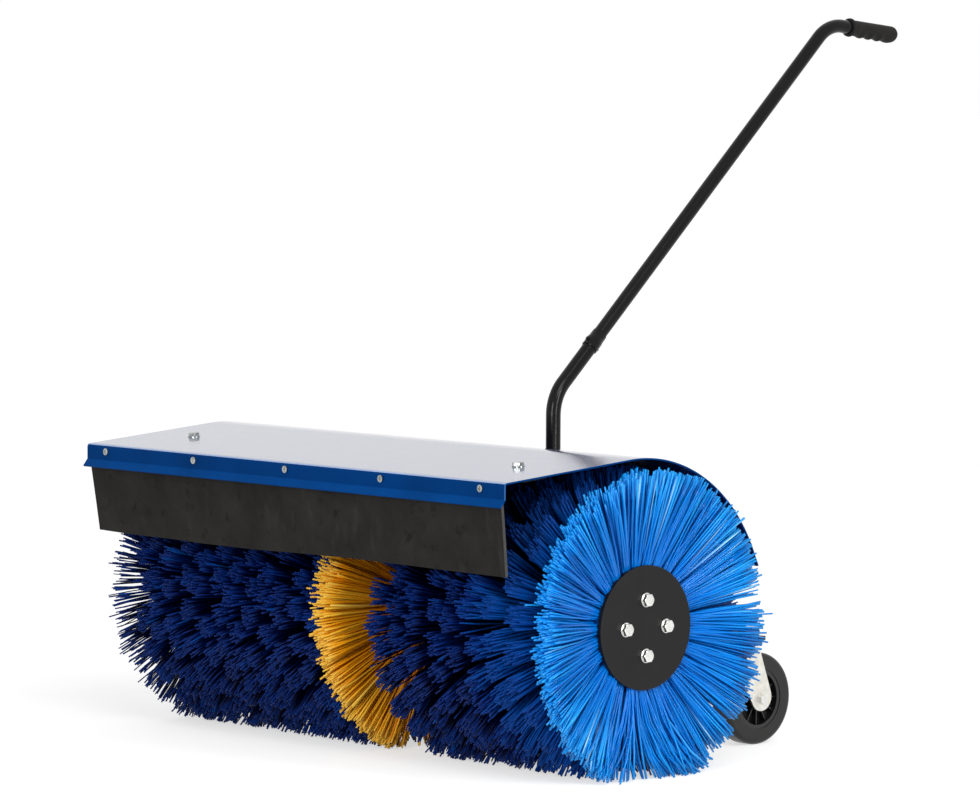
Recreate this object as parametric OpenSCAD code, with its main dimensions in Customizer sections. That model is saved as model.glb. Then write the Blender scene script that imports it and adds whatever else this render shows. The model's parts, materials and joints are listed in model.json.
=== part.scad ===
// Power brush sweeper: a cylindrical brush under a folded sheet hood, driven through a
// bevel gearbox that sits in a gap of the brush, on two trailing casters, with a push handle.
// Millimetres. X runs along the brush, -Y is the front with the rubber flap, Z is up.

/* [Brush] */
// Radius to the bristle tips, also the height of the axle
brush_r = 207; // [203:0.5:208]
// Outer faces of the two end discs lie this far from the middle
brush_half = 447; // [445:0.5:450]
// Radius of the backing sleeves that hold the bristles
sleeve_r = 80; // [78:0.5:82]
// Radius of the two steel core drums
core_r = 70; // [69:0.5:72]
// Radius of the end discs
disc_r = 86; // [84:0.5:90]
// Thickness of the end discs
disc_t = 6; // [5:0.5:7]
// Pitch circle diameter of the four end bolts
end_pcd = 77; // [74:0.5:80]
// Strands around each row of bristles
strands = 30; // [28:1:30]
// Width of the yellow bristle ring beside the drive gap
centre_w = 24; // [22:0.5:25]
// Width of the light blue bristle ring at the right end
end_w = 20; // [18:0.5:22]

/* [Hood] */
// Length of the sheet hood
hood_len = 900; // [880:1:904]
// Thickness of the hood sheet
sheet_t = 2.5; // [2:0.1:3]
// Front fold, distance in front of the axle
fold_y = 268; // [264:0.5:272]
// Front fold, height above the axle
fold_z = 213; // [211:0.5:215]
// Rise of the top towards the rear, degrees
top_tilt = 4.9; // [4.5:0.05:5.2]
// Outside radius of the front bend
bend_r = 5; // [4:0.25:6]
// Height of the front flange
flange_h = 22; // [20:0.5:24]
// Forward reach of the lip under the flange
lip_out = 8; // [6:0.5:10]
// Drop of the lip under the flange
lip_drop = 10; // [8:0.5:12]
// Rear arc centre, distance in front of the axle
arc_y = 13; // [11:0.5:15]
// Rear arc centre, distance below the axle
arc_z = 9; // [8:0.5:11]
// Angle where the rear arc ends, above level
arc_end = 25; // [24:0.5:27]
// Length of the flat hem at the rear
hem_len = 24; // [23:0.5:26]
// Spacing of the top bolts
top_bolt_span = 698; // [680:1:710]
// Top bolts, distance in front of the axle
top_bolt_y = 149; // [145:0.5:153]

/* [Front flap] */
// Length of the rubber flap
flap_len = 880; // [860:1:884]
// Thickness of the rubber flap
flap_t = 5; // [4:0.25:6]
// Height of the lower edge of the flap above the axle
flap_low = 84; // [80:0.5:90]
// Rearward lean of the lower edge of the flap
flap_lean = 10.5; // [8:0.5:12]
// Spacing of the five flap screws
screw_pitch = 202; // [196:0.5:205]
// Drop of the flap screws below the fold
screw_drop = 9.5; // [9:0.1:10]

/* [Drive] */
// Position of the gearbox along the brush
gear_x = 65; // [64:0.5:66]
// Width of the gap in the brush that holds the gearbox
gap_w = 70; // [69:0.5:72]
// Width of the gearbox housing
box_w = 60; // [59.5:0.25:61]
// Outside radius of the gearbox housing
box_r = 72; // [71.5:0.25:74]
// Radius of the brush shaft
shaft_r = 15; // [14.5:0.25:15]
// Radius of the drive shaft
drive_r = 10; // [9.5:0.25:10]
// Radius of the free end of the drive shaft
input_r = 9; // [8.5:0.25:9]
// Outside radius of the neck tube
neck_r = 25; // [24.5:0.25:25.5]
// Length of the drive shaft behind the mount plate
drive_free = 56; // [50:1:60]
// Radial clearance of a running fit
run_fit = 0.03; // [0.02:0.01:0.05]

/* [Rear frame] */
// Front face of the beam, distance behind the axle
beam_y = 224; // [223:0.5:226]
// Underside of the beam above the floor
beam_z = 138; // [137:0.5:140]
// Height and depth of the square beam
beam_s = 40; // [39:0.5:41]
// Length of the beam
beam_len = 760; // [750:1:770]
// Thickness of the mount plate
mount_t = 10; // [9:0.5:11]
// Width of the mount plate
mount_w = 140; // [136:1:144]
// Spacing of the four mount holes
mount_pitch = 100; // [98:0.5:104]
// Radius of the mount holes
mount_hole_r = 6.5; // [6:0.25:7]

/* [Casters] */
// Distance of each caster from the middle
caster_x = 300; // [298:0.5:304]
// Wheel axle, distance behind the axle of the brush
wheel_y = 357; // [354:0.5:360]
// Trail of the caster wheel behind its kingpin
trail = 44; // [42:0.5:46]
// Radius of the caster wheel
wheel_r = 66.5; // [64:0.25:67]
// Width of the caster tyre
tyre_w = 32; // [30:0.5:33]
// Radius of the tyre seat on the rim
seat_r = 44; // [43:0.25:45]

/* [Handle] */
// Outside radius of the lower tube
low_r = 11; // [10.75:0.05:11.25]
// Outside radius of the upper tube
up_r = 9.5; // [9:0.05:9.6]
// Sideways position of the handle
handle_x = 0; // [-2:0.5:2]
// Lower tube, distance behind the axle
handle_y = 245; // [244:0.5:247]
// Height of the lower bend
low_bend_z = 491; // [488:1:498]
// Slope of the handle, degrees
slope = 43.6; // [42.5:0.1:44.5]
// Collar, distance behind the axle
collar_y = 328; // [324:1:332]
// Top bend, distance behind the axle
top_y = 822; // [810:1:835]
// Radius of the tube bends
tube_bend = 65; // [60:1:68]
// Downward slope of the grip, degrees
grip_tilt = 6; // [5:0.1:7]
// Radius of the grip
grip_r = 13; // [12.75:0.05:13.5]
// End of the grip, measured along it from the top bend
grip_end = 154; // [150:0.5:158]
// Straight tube between the top bend and the grip
grip_gap = 14; // [12:0.5:16]

/* [Hidden] */
$fn = 64;
zax = brush_r;
sleeve_in = core_r + 0.6;
tip_r = brush_r;
wall = 4;
box_h = box_w / 2;
boss_h = box_h + 22;
boss_r = 38;
stay_bolt_r = box_r + 16;
neck_screw_y = box_r + 12;
box_bolt_at = [0, 75, 120, 165, 210, 330];
brg_r = 31;
gap0 = gear_x - gap_w / 2;
gap1 = gear_x + gap_w / 2;
core_out = brush_half - disc_t;
fy = -fold_y;
fz = zax + fold_z;
bend_z = fz - bend_r * (1 - sin(top_tilt)) / cos(top_tilt);
bend_y = fy + bend_r;
ay = -arc_y;
az = zax - arc_z;
arc_r = (ay - fy) * sin(top_tilt) + (fz - az) * cos(top_tilt);
top_run = (ay - bend_y) * cos(top_tilt) + (az - bend_z) * sin(top_tilt);
kink = [fy, fz - flange_h];
lip_l = sqrt(lip_out * lip_out + lip_drop * lip_drop);
lip_n = [lip_drop / lip_l, -lip_out / lip_l];
lip_tip = [fy - lip_out, fz - flange_h - lip_drop];
flap_y = fy + sheet_t;
strip_y = flap_y + flap_t;
strip_t = 3;
screw_edge = 30;
screw_steps = floor((min(flap_len, hood_len) - 2 * screw_edge) / screw_pitch);
screw_at = [for (i = [0:screw_steps]) (i - screw_steps / 2) * screw_pitch];
rail_w = 40;
rail_h = 15;
rail_wall = 2.5;
rail_l = top_bolt_span + 62;
top_at_bolt = fz + (fold_y - top_bolt_y) * tan(top_tilt);
rail_angle = atan2(top_bolt_y, fold_z - 6);
hem_p = [ay + arc_r * cos(arc_end), az + arc_r * sin(arc_end)];
hem_d = [sin(arc_end), -cos(arc_end)];
hem_n = [cos(arc_end), sin(arc_end)];
strap_t = 5;
strap_w = 34;
strap_x = 250;
neck_in = neck_r - 4;
neck_y0 = 56;
mount_y = beam_y + beam_s;
neck_y1 = mount_y + mount_t;
drive_y0 = 24;
drive_y1 = neck_y1 + drive_free;
square_w = 1.2 * input_r;
square_l = 2 * input_r;
gear_teeth = 24;
pinion_teeth = 12;
gear_a1 = 20;
gear_a0 = 13.8;
pin_a1 = 40;
pin_a0 = 27.6;
pivot_y = wheel_y - trail;
bracket_t = 6;
plate_t = 4;
fork_top = 2 * wheel_r + 9;
race_h = 9;
plate_z = fork_top + race_h;
bracket_z = plate_z + plate_t;
fork_t = 3;
fork_in = tyre_w / 2 + 4;
fork_half = 21;
fork_rear = 39;
fork_eye = 20;
plate_half = 30;
king_r = 6;
axle_r = 5;
bush_r = 8;
d_slope = [cos(slope), sin(slope)];
collar_z = low_bend_z + (collar_y - handle_y) * tan(slope);
top_z = low_bend_z + (top_y - handle_y) * tan(slope);
low_tan = tube_bend * tan((90 - slope) / 2);
top_tan = tube_bend * tan((slope + grip_tilt) / 2);
slope_len = (collar_y - handle_y) / cos(slope);
all_len = (top_y - handle_y) / cos(slope);
rear_reach = top_y + (grip_end - grip_r) * cos(grip_tilt) + grip_r;
front_reach = fold_y + lip_out;
axle_y = (front_reach - rear_reach) / 2;

BLUE = [0.02, 0.13, 0.42];
NAVY = [0.04, 0.10, 0.40];
AZURE = [0.05, 0.45, 0.85];
GOLD = [0.92, 0.62, 0.12];
BLACK = [0.08, 0.08, 0.09];
RUBBER = [0.17, 0.16, 0.15];
STEEL = [0.62, 0.62, 0.64];
ZINC = [0.82, 0.81, 0.76];
GREY = [0.36, 0.37, 0.39];
BRASS = [0.72, 0.55, 0.25];

// Moves a piece from the frame of the axle to the frame of the whole object
module place() {
  translate([0, axle_y, 0]) children();
}

// Cylinder along X between two positions
module bar_x(x0, x1, r) {
  translate([x0, 0, 0]) rotate([0, 90, 0]) cylinder(h = x1 - x0, r = r);
}

// Cylinder along Y between two positions
module bar_y(y0, y1, r) {
  translate([0, y0, 0]) rotate([-90, 0, 0]) cylinder(h = y1 - y0, r = r);
}

// Ring along X between two positions
module ring_x(x0, x1, r, hole) {
  difference() {
    bar_x(x0, x1, r);
    bar_x(x0 - 1, x1 + 1, hole);
  }
}

// Plate across X drawn from a profile of y and z
module plate_x(x0, x1, pts) {
  translate([x0, 0, 0]) rotate([90, 0, 90]) linear_extrude(x1 - x0) polygon(pts);
}

// Hexagon bolt along Z: head above zero with a washer, shank and nut below
module hex_bolt(r, grip, nut = true) {
  cylinder(h = 0.4 * r, r = 2.1 * r);
  translate([0, 0, 0.4 * r]) cylinder(h = 1.3 * r, r = 1.8 * r, $fn = 6);
  translate([0, 0, -grip]) cylinder(h = grip + 0.1, r = r);
  if (nut) {
    translate([0, 0, -grip - 1.6 * r]) cylinder(h = 1.6 * r, r = 1.8 * r, $fn = 6);
    translate([0, 0, -grip - 2.2 * r]) cylinder(h = 2.2 * r, r = r);
  }
}

// Frame of the hood top at the bolts: z is square to the sheet, zero on its outside
module on_top(x) {
  translate([x, -top_bolt_y, top_at_bolt]) rotate([top_tilt, 0, 0]) children();
}

// Frame of the rear hem: z is square to the sheet, zero on the outside of the strap
module on_hem(x, s) {
  translate([x, hem_p[0] + s * hem_d[0], hem_p[1] + s * hem_d[1]])
    rotate([arc_end - 90, 0, 0]) children();
}

// Points of an arc in y and z about c, from angle a0 to a1
function arc_pts(c, r, a0, a1, n) = [for (i = [0:n]) let (a = a0 + (a1 - a0) * i / n) c + r * [cos(a), sin(a)]];

// Sheet of the hood: lip, front flange, fold, top, rear arc and hem, then back along the inside
module hood_sheet() {
  fold = [bend_y, bend_z];
  arc = [ay, az];
  flat = 90 + top_tilt;
  end = hem_p + hem_len * hem_d;
  outer = concat([lip_tip, kink], arc_pts(fold, bend_r, 180, flat, 6), arc_pts(arc, arc_r, flat, arc_end, 48));
  inner = concat(arc_pts(arc, arc_r - sheet_t, arc_end, flat, 48), arc_pts(fold, bend_r - sheet_t, flat, 180, 6),
    [kink + sheet_t * ([1, 0] + lip_n) / (1 + lip_n[0]), lip_tip + sheet_t * lip_n]);
  plate_x(-hood_len / 2, hood_len / 2, concat(outer, [end, end - sheet_t * hem_n], inner));
}

module hood() {
  color(BLUE) difference() {
    hood_sheet();
    for (s = [-1, 1]) on_top(s * top_bolt_span / 2) translate([0, 0, -10]) cylinder(h = 20, r = 5.5);
    for (s = [-1, 1]) on_hem(s * strap_x, 13) translate([0, 0, -10]) cylinder(h = 20, r = 4.5);
    for (x = screw_at) translate([x, 0, fz - screw_drop])
      bar_y(fy - 2, fy + sheet_t + 2, 2.8);
  }
}

module hood_rail() {
  stay_a = [-sin(rail_angle), cos(rail_angle)];
  stay_b = [cos(rail_angle), sin(rail_angle)];
  low = -sheet_t - rail_h;
  c = [-top_bolt_y, top_at_bolt] + low * [-sin(top_tilt), cos(top_tilt)];
  e = (rail_w / 2) * [cos(top_tilt), sin(top_tilt)];
  o = [0, zax];
  color(GREY) difference() {
    union() {
      difference() {
        on_top(0) translate([-rail_l / 2, -rail_w / 2, low]) cube([rail_l, rail_w, rail_h]);
        on_top(0) translate([-rail_l / 2 - 1, -rail_w / 2 + rail_wall, low + rail_wall])
          cube([rail_l + 2, rail_w - 2 * rail_wall, rail_h - 2 * rail_wall]);
      }
      plate_x(gear_x - 3, gear_x + 3, [o + (box_r + 4) * stay_a - 22 * stay_b, o + (box_r + 4) * stay_a + 22 * stay_b,
        c + e, c - e]);
    }
    for (s = [-1, 1]) on_top(s * top_bolt_span / 2) translate([0, 0, -30]) cylinder(h = 40, r = 5.5);
    translate([0, 0, zax]) rotate([rail_angle, 0, 0]) for (s = [-1, 1])
      translate([0, s * 12, stay_bolt_r]) bar_x(gear_x - 5, gear_x + 5, 4.2);
  }
}

module hood_bolts() {
  color(ZINC) for (s = [-1, 1]) on_top(s * top_bolt_span / 2) hex_bolt(5, sheet_t + rail_wall);
}

module hood_straps() {
  a = hem_p + 2 * hem_d;
  k = hem_p + strap_t * hem_n;
  ks = (beam_y - k[0]) / hem_d[0];
  ko = k + ks * hem_d;
  ki = ko - strap_t * (hem_n + [1, 0]) / (1 + hem_n[0]);
  color(GREY) for (s = [-1, 1]) difference() {
    plate_x(s * strap_x - strap_w / 2, s * strap_x + strap_w / 2, [a, a + strap_t * hem_n, ko,
      [beam_y, beam_z + 8], [beam_y - strap_t, beam_z + 8], ki]);
    on_hem(s * strap_x, 13) translate([0, 0, -10]) cylinder(h = 30, r = 4.5);
    translate([s * strap_x, 0, beam_z + beam_s / 2]) bar_y(beam_y - 20, beam_y + 20, 4.5);
  }
}

module strap_bolts() {
  color(ZINC) for (s = [-1, 1]) {
    on_hem(s * strap_x, 13) translate([0, 0, strap_t]) hex_bolt(4, strap_t + sheet_t);
    translate([s * strap_x, beam_y - strap_t, beam_z + beam_s / 2]) rotate([90, 0, 0])
      hex_bolt(4, strap_t + 3);
  }
}

module front_flap() {
  zt = fz - bend_r - 1;
  zk = fz - flange_h;
  zb = zax + flap_low;
  color(RUBBER) difference() {
    plate_x(-flap_len / 2, flap_len / 2, [[flap_y, zt], [flap_y, zk], [flap_y + flap_lean, zb],
      [flap_y + flap_lean + flap_t, zb], [flap_y + flap_t, zk], [flap_y + flap_t, zt]]);
    for (x = screw_at) translate([x, 0, fz - screw_drop])
      bar_y(flap_y - 2, flap_y + flap_t + 2, 2.8);
  }
}

module flap_strip() {
  color(GREY) difference() {
    translate([-flap_len / 2 + 5, strip_y, fz - screw_drop - 8.5])
      cube([flap_len - 10, strip_t, 14.5]);
    for (x = screw_at) translate([x, 0, fz - screw_drop])
      bar_y(strip_y - 2, strip_y + strip_t + 2, 2.8);
  }
}

module flap_screws() {
  y_end = strip_y + strip_t;
  color(ZINC) for (x = screw_at) translate([x, 0, fz - screw_drop]) difference() {
    union() {
      bar_y(fy - 2.8, fy, 5);
      bar_y(fy - 0.1, y_end + 6, 2.5);
      translate([0, y_end, 0]) rotate([-90, 0, 0]) cylinder(h = 4, r = 4.6, $fn = 6);
    }
    translate([-3.2, fy - 3.5, -0.6]) cube([6.4, 1.9, 1.2]);
    translate([-0.6, fy - 3.5, -3.2]) cube([1.2, 1.9, 6.4]);
  }
}

// Half of the gearbox housing on one side of the split plane, side is -1 or 1
module gearbox_half(side) {
  x0 = side < 0 ? gear_x - box_h : gear_x;
  b0 = side < 0 ? gear_x - boss_h : gear_x + box_h - 1;
  difference() {
    union() {
      translate([0, 0, zax]) bar_x(x0, x0 + box_h, box_r);
      translate([0, 0, zax]) bar_x(b0, b0 + boss_h - box_h + 1, boss_r);
      intersection() {
        translate([gear_x, 0, zax]) bar_y(0, box_r + 20, neck_r + 5);
        translate([x0, 0, 0]) cube([box_h, box_r + 28, 2 * zax]);
      }
      translate([gear_x + side * 7.5 - 4.5, 0, zax]) rotate([rail_angle, 0, 0])
        translate([0, -22, box_r - 17]) cube([9, 44, 45]);
    }
    translate([0, 0, zax]) bar_x(gear_x - box_h + wall, gear_x + box_h - wall, box_r - 12);
    translate([0, 0, zax]) bar_x(gear_x - boss_h - 1, gear_x + boss_h + 1, brg_r);
    translate([gear_x, 0, zax]) bar_y(10, box_r + 28, neck_r);
    translate([gear_x - 3, 0, zax]) rotate([rail_angle, 0, 0]) translate([0, -30, box_r + 3]) cube([6, 60, 40]);
    for (a = box_bolt_at) translate([0, 0, zax]) rotate([a, 0, 0]) translate([0, 0, box_r - 6]) {
      bar_x(gear_x - box_h - 1, gear_x + box_h + 1, 3.2);
      bar_x(gear_x - box_h - 1, gear_x - box_h + 5, 5.4);
      bar_x(gear_x + box_h - 5, gear_x + box_h + 1, 5.4);
    }
    translate([0, 0, zax]) rotate([rail_angle, 0, 0]) for (s = [-1, 1])
      translate([0, s * 12, stay_bolt_r]) bar_x(gear_x - 20, gear_x + 20, 4.2);
    for (s = [-1, 1]) translate([gear_x, neck_screw_y, zax + s * neck_r])
      translate([0, 0, -8]) cylinder(h = 16, r = 3.1);
  }
}

module gearbox_left() {
  color(GREY) gearbox_half(-1);
}

module gearbox_right() {
  color(GREY) gearbox_half(1);
}

module gearbox_bolts() {
  color(STEEL) translate([0, 0, zax]) for (a = box_bolt_at) rotate([a, 0, 0])
    translate([0, 0, box_r - 6]) {
      bar_x(gear_x - box_h + 0.4, gear_x - box_h + 5, 5);
      bar_x(gear_x - box_h + 4.9, gear_x + box_h - 4.9, 3);
      bar_x(gear_x + box_h - 5, gear_x + box_h - 0.4, 5);
    }
}

module stay_bolts() {
  color(ZINC) translate([0, 0, zax]) rotate([rail_angle, 0, 0]) for (s = [-1, 1])
    translate([gear_x + 12, s * 12, stay_bolt_r]) rotate([0, 90, 0]) hex_bolt(4, 24);
}

module axle_bearings() {
  color(STEEL) translate([0, 0, zax]) {
    ring_x(gear_x - box_h - 14, gear_x - box_h + 2, brg_r, shaft_r + run_fit);
    ring_x(gear_x + box_h - 2, gear_x + box_h + 14, brg_r, shaft_r + run_fit);
  }
}

module axle_seals() {
  color(BLACK) translate([0, 0, zax]) {
    ring_x(gear_x - box_h - 20, gear_x - box_h - 15, brg_r, shaft_r + run_fit);
    ring_x(gear_x + box_h + 15, gear_x + box_h + 20, brg_r, shaft_r + run_fit);
  }
}

module neck_tube() {
  color(GREY) translate([gear_x, 0, zax]) difference() {
    bar_y(neck_y0, neck_y1, neck_r);
    bar_y(neck_y0 - 1, neck_y1 + 1, neck_in);
  }
}

module neck_screws() {
  color(STEEL) for (s = [-1, 1]) translate([gear_x, neck_screw_y, zax]) rotate([s < 0 ? 180 : 0, 0, 0]) {
    translate([0, 0, neck_r]) cylinder(h = 5.5, r = 3);
    translate([0, 0, neck_r + 5.4]) cylinder(h = 4, r = 5);
  }
}

module drive_bearings() {
  color(STEEL) translate([gear_x, 0, zax]) for (y = [neck_y0 + 1, neck_y1 - 19]) difference() {
    bar_y(y, y + 12, neck_in);
    bar_y(y - 1, y + 13, drive_r + run_fit);
  }
}

module drive_seal() {
  color(BLACK) translate([gear_x, 0, zax]) difference() {
    bar_y(neck_y1 - 6, neck_y1 - 1, neck_in);
    bar_y(neck_y1 - 7, neck_y1, drive_r + run_fit);
  }
}

module rear_frame() {
  m0 = [gear_x - mount_w / 2, mount_y, beam_z];
  color(GREY) difference() {
    union() {
      difference() {
        translate([-beam_len / 2, beam_y, beam_z]) cube([beam_len, beam_s, beam_s]);
        translate([-beam_len / 2 - 1, beam_y + 3, beam_z + 3])
          cube([beam_len + 2, beam_s - 6, beam_s - 6]);
      }
      translate(m0) cube([mount_w, mount_t, 2 * (zax - beam_z)]);
      for (s = [-1, 1]) translate([gear_x + s * (neck_r + 12) - 3, 0, 0])
        plate_x(0, 6, [[beam_y + 6, beam_z + beam_s], [mount_y, beam_z + beam_s],
          [mount_y, beam_z + beam_s + 70]]);
      translate([handle_x, handle_y, beam_z + beam_s]) cylinder(h = 80, r = low_r + 4);
      for (s = [-1, 1]) {
        translate([s * caster_x - 42, mount_y, bracket_z]) cube([84, pivot_y + plate_half - mount_y, bracket_t]);
        for (e = [-36, 30]) plate_x(s * caster_x + e, s * caster_x + e + 6,
          [[mount_y, bracket_z + bracket_t], [pivot_y + plate_half - 6, bracket_z + bracket_t],
            [mount_y, beam_z + beam_s]]);
      }
    }
    translate([gear_x, 0, zax]) bar_y(mount_y - 1, neck_y1 + 1, neck_r);
    for (sx = [-1, 1]) for (sz = [-1, 1])
      translate([gear_x + sx * mount_pitch / 2, 0, zax + sz * mount_pitch / 2])
        bar_y(mount_y - 20, neck_y1 + 1, mount_hole_r);
    translate([handle_x, handle_y, beam_z + beam_s + 4]) cylinder(h = 90, r = low_r + 0.05);
    translate([handle_x, handle_y, beam_z + beam_s + 46]) bar_x(-30, 30, 4.2);
    for (s = [-1, 1]) {
      translate([s * caster_x, pivot_y, bracket_z - 1]) cylinder(h = 10, r = 13);
      for (e = [-22, 22]) for (f = [-21, 21]) translate([s * caster_x + e, pivot_y + f, bracket_z - 1])
        cylinder(h = 10, r = 4.2);
      translate([s * strap_x, 0, beam_z + beam_s / 2]) bar_y(beam_y - 1, beam_y + 8, 4.5);
    }
  }
}

module beam_caps() {
  color(BLACK) for (s = [-1, 1]) {
    translate([s > 0 ? beam_len / 2 : -beam_len / 2 - 3, beam_y, beam_z]) cube([3, beam_s, beam_s]);
    translate([s > 0 ? beam_len / 2 - 12 : -beam_len / 2 - 0.1, beam_y + 3.2, beam_z + 3.2])
      cube([12.1, beam_s - 6.4, beam_s - 6.4]);
  }
}

module socket_bolt() {
  color(ZINC) translate([handle_x + low_r + 4, handle_y, beam_z + beam_s + 46]) rotate([0, 90, 0])
    hex_bolt(4, 2 * low_r + 8);
}

// Frame of the sloping tubes: y runs up the slope from the lower bend
module on_slope() {
  translate([handle_x, handle_y, low_bend_z]) rotate([slope, 0, 0]) children();
}

// Straight bar on the slope of the handle between two positions
module slope_bar(s0, s1, r) {
  on_slope() bar_y(s0, s1, r);
}

// Round bar along y that reaches a bend at the origin, turns down by an angle and runs on straight;
// the bend is swaged larger by a twentieth so that the straights lie clear inside it
module bent_bar(back, turn, on, r) {
  translate([0, 1, 0]) rotate([90, 0, 0]) cylinder(h = back + 1, r = r);
  translate([0, 0, -tube_bend]) {
    rotate([90, 0, 90]) rotate([0, 0, 90 - turn]) rotate_extrude(angle = turn) translate([tube_bend, 0])
      circle(r = r + 0.05);
    rotate([-turn, 0, 0]) translate([0, -1, tube_bend]) rotate([-90, 0, 0]) cylinder(h = on + 1, r = r);
  }
}

module handle_lower() {
  back = low_bend_z - low_tan - beam_z - beam_s - 4;
  on = slope_len + 14 - low_tan;
  color(BLACK) difference() {
    translate([handle_x, handle_y, low_bend_z - low_tan]) rotate([90, 0, 0]) difference() {
      bent_bar(back, 90 - slope, on, low_r);
      bent_bar(back + 1, 90 - slope, on + 1, up_r + 0.1);
    }
    on_slope() translate([0, slope_len, -30]) cylinder(h = 60, r = 3.2);
    translate([handle_x, handle_y, beam_z + beam_s + 46]) bar_x(-30, 30, 4.2);
  }
}

module handle_upper() {
  back = all_len - top_tan - slope_len + 50;
  on = grip_end - 12 - top_tan;
  color(BLACK) translate([handle_x, top_y - top_tan * cos(slope), top_z - top_tan * sin(slope)])
    rotate([slope, 0, 0]) difference() {
      bent_bar(back, slope + grip_tilt, on, up_r);
      bent_bar(back + 1, slope + grip_tilt, on + 1, up_r - 1.5);
      translate([0, 50 - back, -30]) cylinder(h = 60, r = 3.2);
    }
}

module handle_collar() {
  color(BLACK) difference() {
    slope_bar(slope_len - 6, slope_len + 18, low_r + 1.2);
    slope_bar(slope_len - 7, slope_len + 14.2, low_r + 0.05);
    slope_bar(slope_len + 14, slope_len + 19, up_r + 0.05);
    on_slope() translate([0, slope_len, -30]) cylinder(h = 60, r = 3.2);
  }
}

module collar_bolt() {
  color(BLACK) on_slope() translate([0, slope_len, low_r + 1.2]) hex_bolt(3, 2 * low_r + 2.4);
}

module handle_grip() {
  g0 = top_tan + grip_gap;
  color(BLACK) translate([handle_x, top_y, top_z]) rotate([-grip_tilt, 0, 0]) difference() {
    rotate([-90, 0, 0]) rotate_extrude() intersection() {
      union() {
        translate([0, g0]) square([grip_r + 1.6, 4.5]);
        translate([0, g0 + 1]) square([grip_r, grip_end - grip_r - g0 - 1]);
        translate([0, grip_end - grip_r]) circle(r = grip_r);
      }
      translate([0, g0 - 1]) square([grip_r + 10, grip_end]);
    }
    bar_y(top_tan, grip_end - 11.5, up_r + 0.05);
    for (i = [0:3]) translate([0, g0 + 16 + 20 * i, -grip_r - 9]) bar_x(-20, 20, 12);
  }
}

// Caster plate bolted under the bracket, side is -1 or 1
module caster_plate(side) {
  color(ZINC) difference() {
    translate([side * caster_x - 34, pivot_y - plate_half, plate_z]) cube([68, 2 * plate_half, plate_t]);
    translate([side * caster_x, pivot_y, plate_z - 1]) cylinder(h = 10, r = king_r + 0.05);
    for (e = [-22, 22]) for (f = [-21, 21]) translate([side * caster_x + e, pivot_y + f, plate_z - 1])
      cylinder(h = 10, r = 4.2);
  }
}

module caster_plate_left() {
  caster_plate(-1);
}

module caster_plate_right() {
  caster_plate(1);
}

module caster_bolts() {
  color(ZINC) for (s = [-1, 1]) for (e = [-22, 22]) for (f = [-21, 21])
    translate([s * caster_x + e, pivot_y + f, bracket_z + bracket_t]) {
      cylinder(h = 5, r = 7, $fn = 6);
      translate([0, 0, -bracket_t - plate_t]) cylinder(h = bracket_t + plate_t + 0.1, r = 4);
      translate([0, 0, -bracket_t - plate_t - 3]) cylinder(h = 3, r = 6.4);
    }
}

// Kingpin: shoulder on the plate, journal through the race and fork, cap below
module kingpin(side) {
  color(STEEL) translate([side * caster_x, pivot_y, 0]) {
    translate([0, 0, bracket_z]) cylinder(h = 5, r = 11);
    translate([0, 0, fork_top - fork_t - 2]) cylinder(h = bracket_z - fork_top + fork_t + 2.1, r = king_r);
    translate([0, 0, fork_top - fork_t - 4.3]) cylinder(h = 4, r = 8.5);
  }
}

module kingpin_left() {
  kingpin(-1);
}

module kingpin_right() {
  kingpin(1);
}

module brush_shaft() {
  color(STEEL) translate([0, 0, zax]) difference() {
    bar_x(-brush_half + disc_t + 1, brush_half - disc_t - 1, shaft_r);
    for (x = [-core_out + 10, core_out - 34]) translate([x, -4, shaft_r - 3]) cube([24, 8, 8]);
    translate([gear_x + 14, -4, shaft_r - 3]) cube([11, 8, 8]);
  }
}

module shaft_keys() {
  color(STEEL) translate([0, 0, zax]) {
    for (x = [-core_out + 10, core_out - 34]) translate([x, -4, shaft_r - 3]) cube([24, 8, 6]);
    translate([gear_x + 14, -4, shaft_r - 3]) cube([11, 8, 6]);
  }
}

// Straight bevel tooth ring seen along its axis, for one unit of distance from the apex.
// Ratios are radius over distance at the root and the tip, widths are shares of the pitch.
function bevel_pts(n, root, tip, wr, wt, turn) = [for (i = [0:n - 1]) for (k = [0:3])
  let (p = 360 / n, h = (k == 0 || k == 3) ? wr : wt, s = (k < 2) ? -1 : 1, q = (k == 0 || k == 3) ? root : tip)
  q * [cos(turn + p * (i + s * h / 2)), sin(turn + p * (i + s * h / 2))]];

module ring_gear() {
  color(STEEL) translate([gear_x, 0, zax]) difference() {
    union() {
      rotate([90, 0, 90]) translate([0, 0, gear_a0])
        linear_extrude(height = gear_a1 - gear_a0, scale = gear_a1 / gear_a0)
          polygon(gear_a0 * bevel_pts(gear_teeth, 1.72, 2.31, 0.5, 0.2, 0));
      bar_x(gear_a1 - 1, box_h - wall - 0.5, 1.6 * gear_a1);
    }
    bar_x(0, box_h, shaft_r + 0.02);
    translate([0, -4.02, shaft_r - 4]) cube([box_h, 8.04, 7.05]);
  }
}

module pinion() {
  color(STEEL) translate([gear_x, 0, zax]) difference() {
    union() {
      rotate([-90, 0, 0]) translate([0, 0, pin_a0])
        linear_extrude(height = pin_a1 - pin_a0, scale = pin_a1 / pin_a0)
          polygon(pin_a0 * bevel_pts(pinion_teeth, 0.418, 0.57, 0.5, 0.2, 180 / pinion_teeth));
      bar_y(pin_a1 - 1, pin_a1 + 9, 15.5);
    }
    bar_y(0, 60, drive_r + 0.02);
  }
}

module drive_shaft() {
  color(STEEL) translate([gear_x, 0, zax]) difference() {
    union() {
      bar_y(drive_y0, neck_y1, drive_r);
      bar_y(neck_y1 - 0.1, drive_y1, input_r);
      translate([-square_w / 2, drive_y1 - 1, -square_w / 2]) cube([square_w, square_l + 1, square_w]);
    }
    translate([0, drive_y1 + square_l / 2, -input_r]) cylinder(h = 2 * input_r, r = square_w / 5);
  }
}

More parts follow.
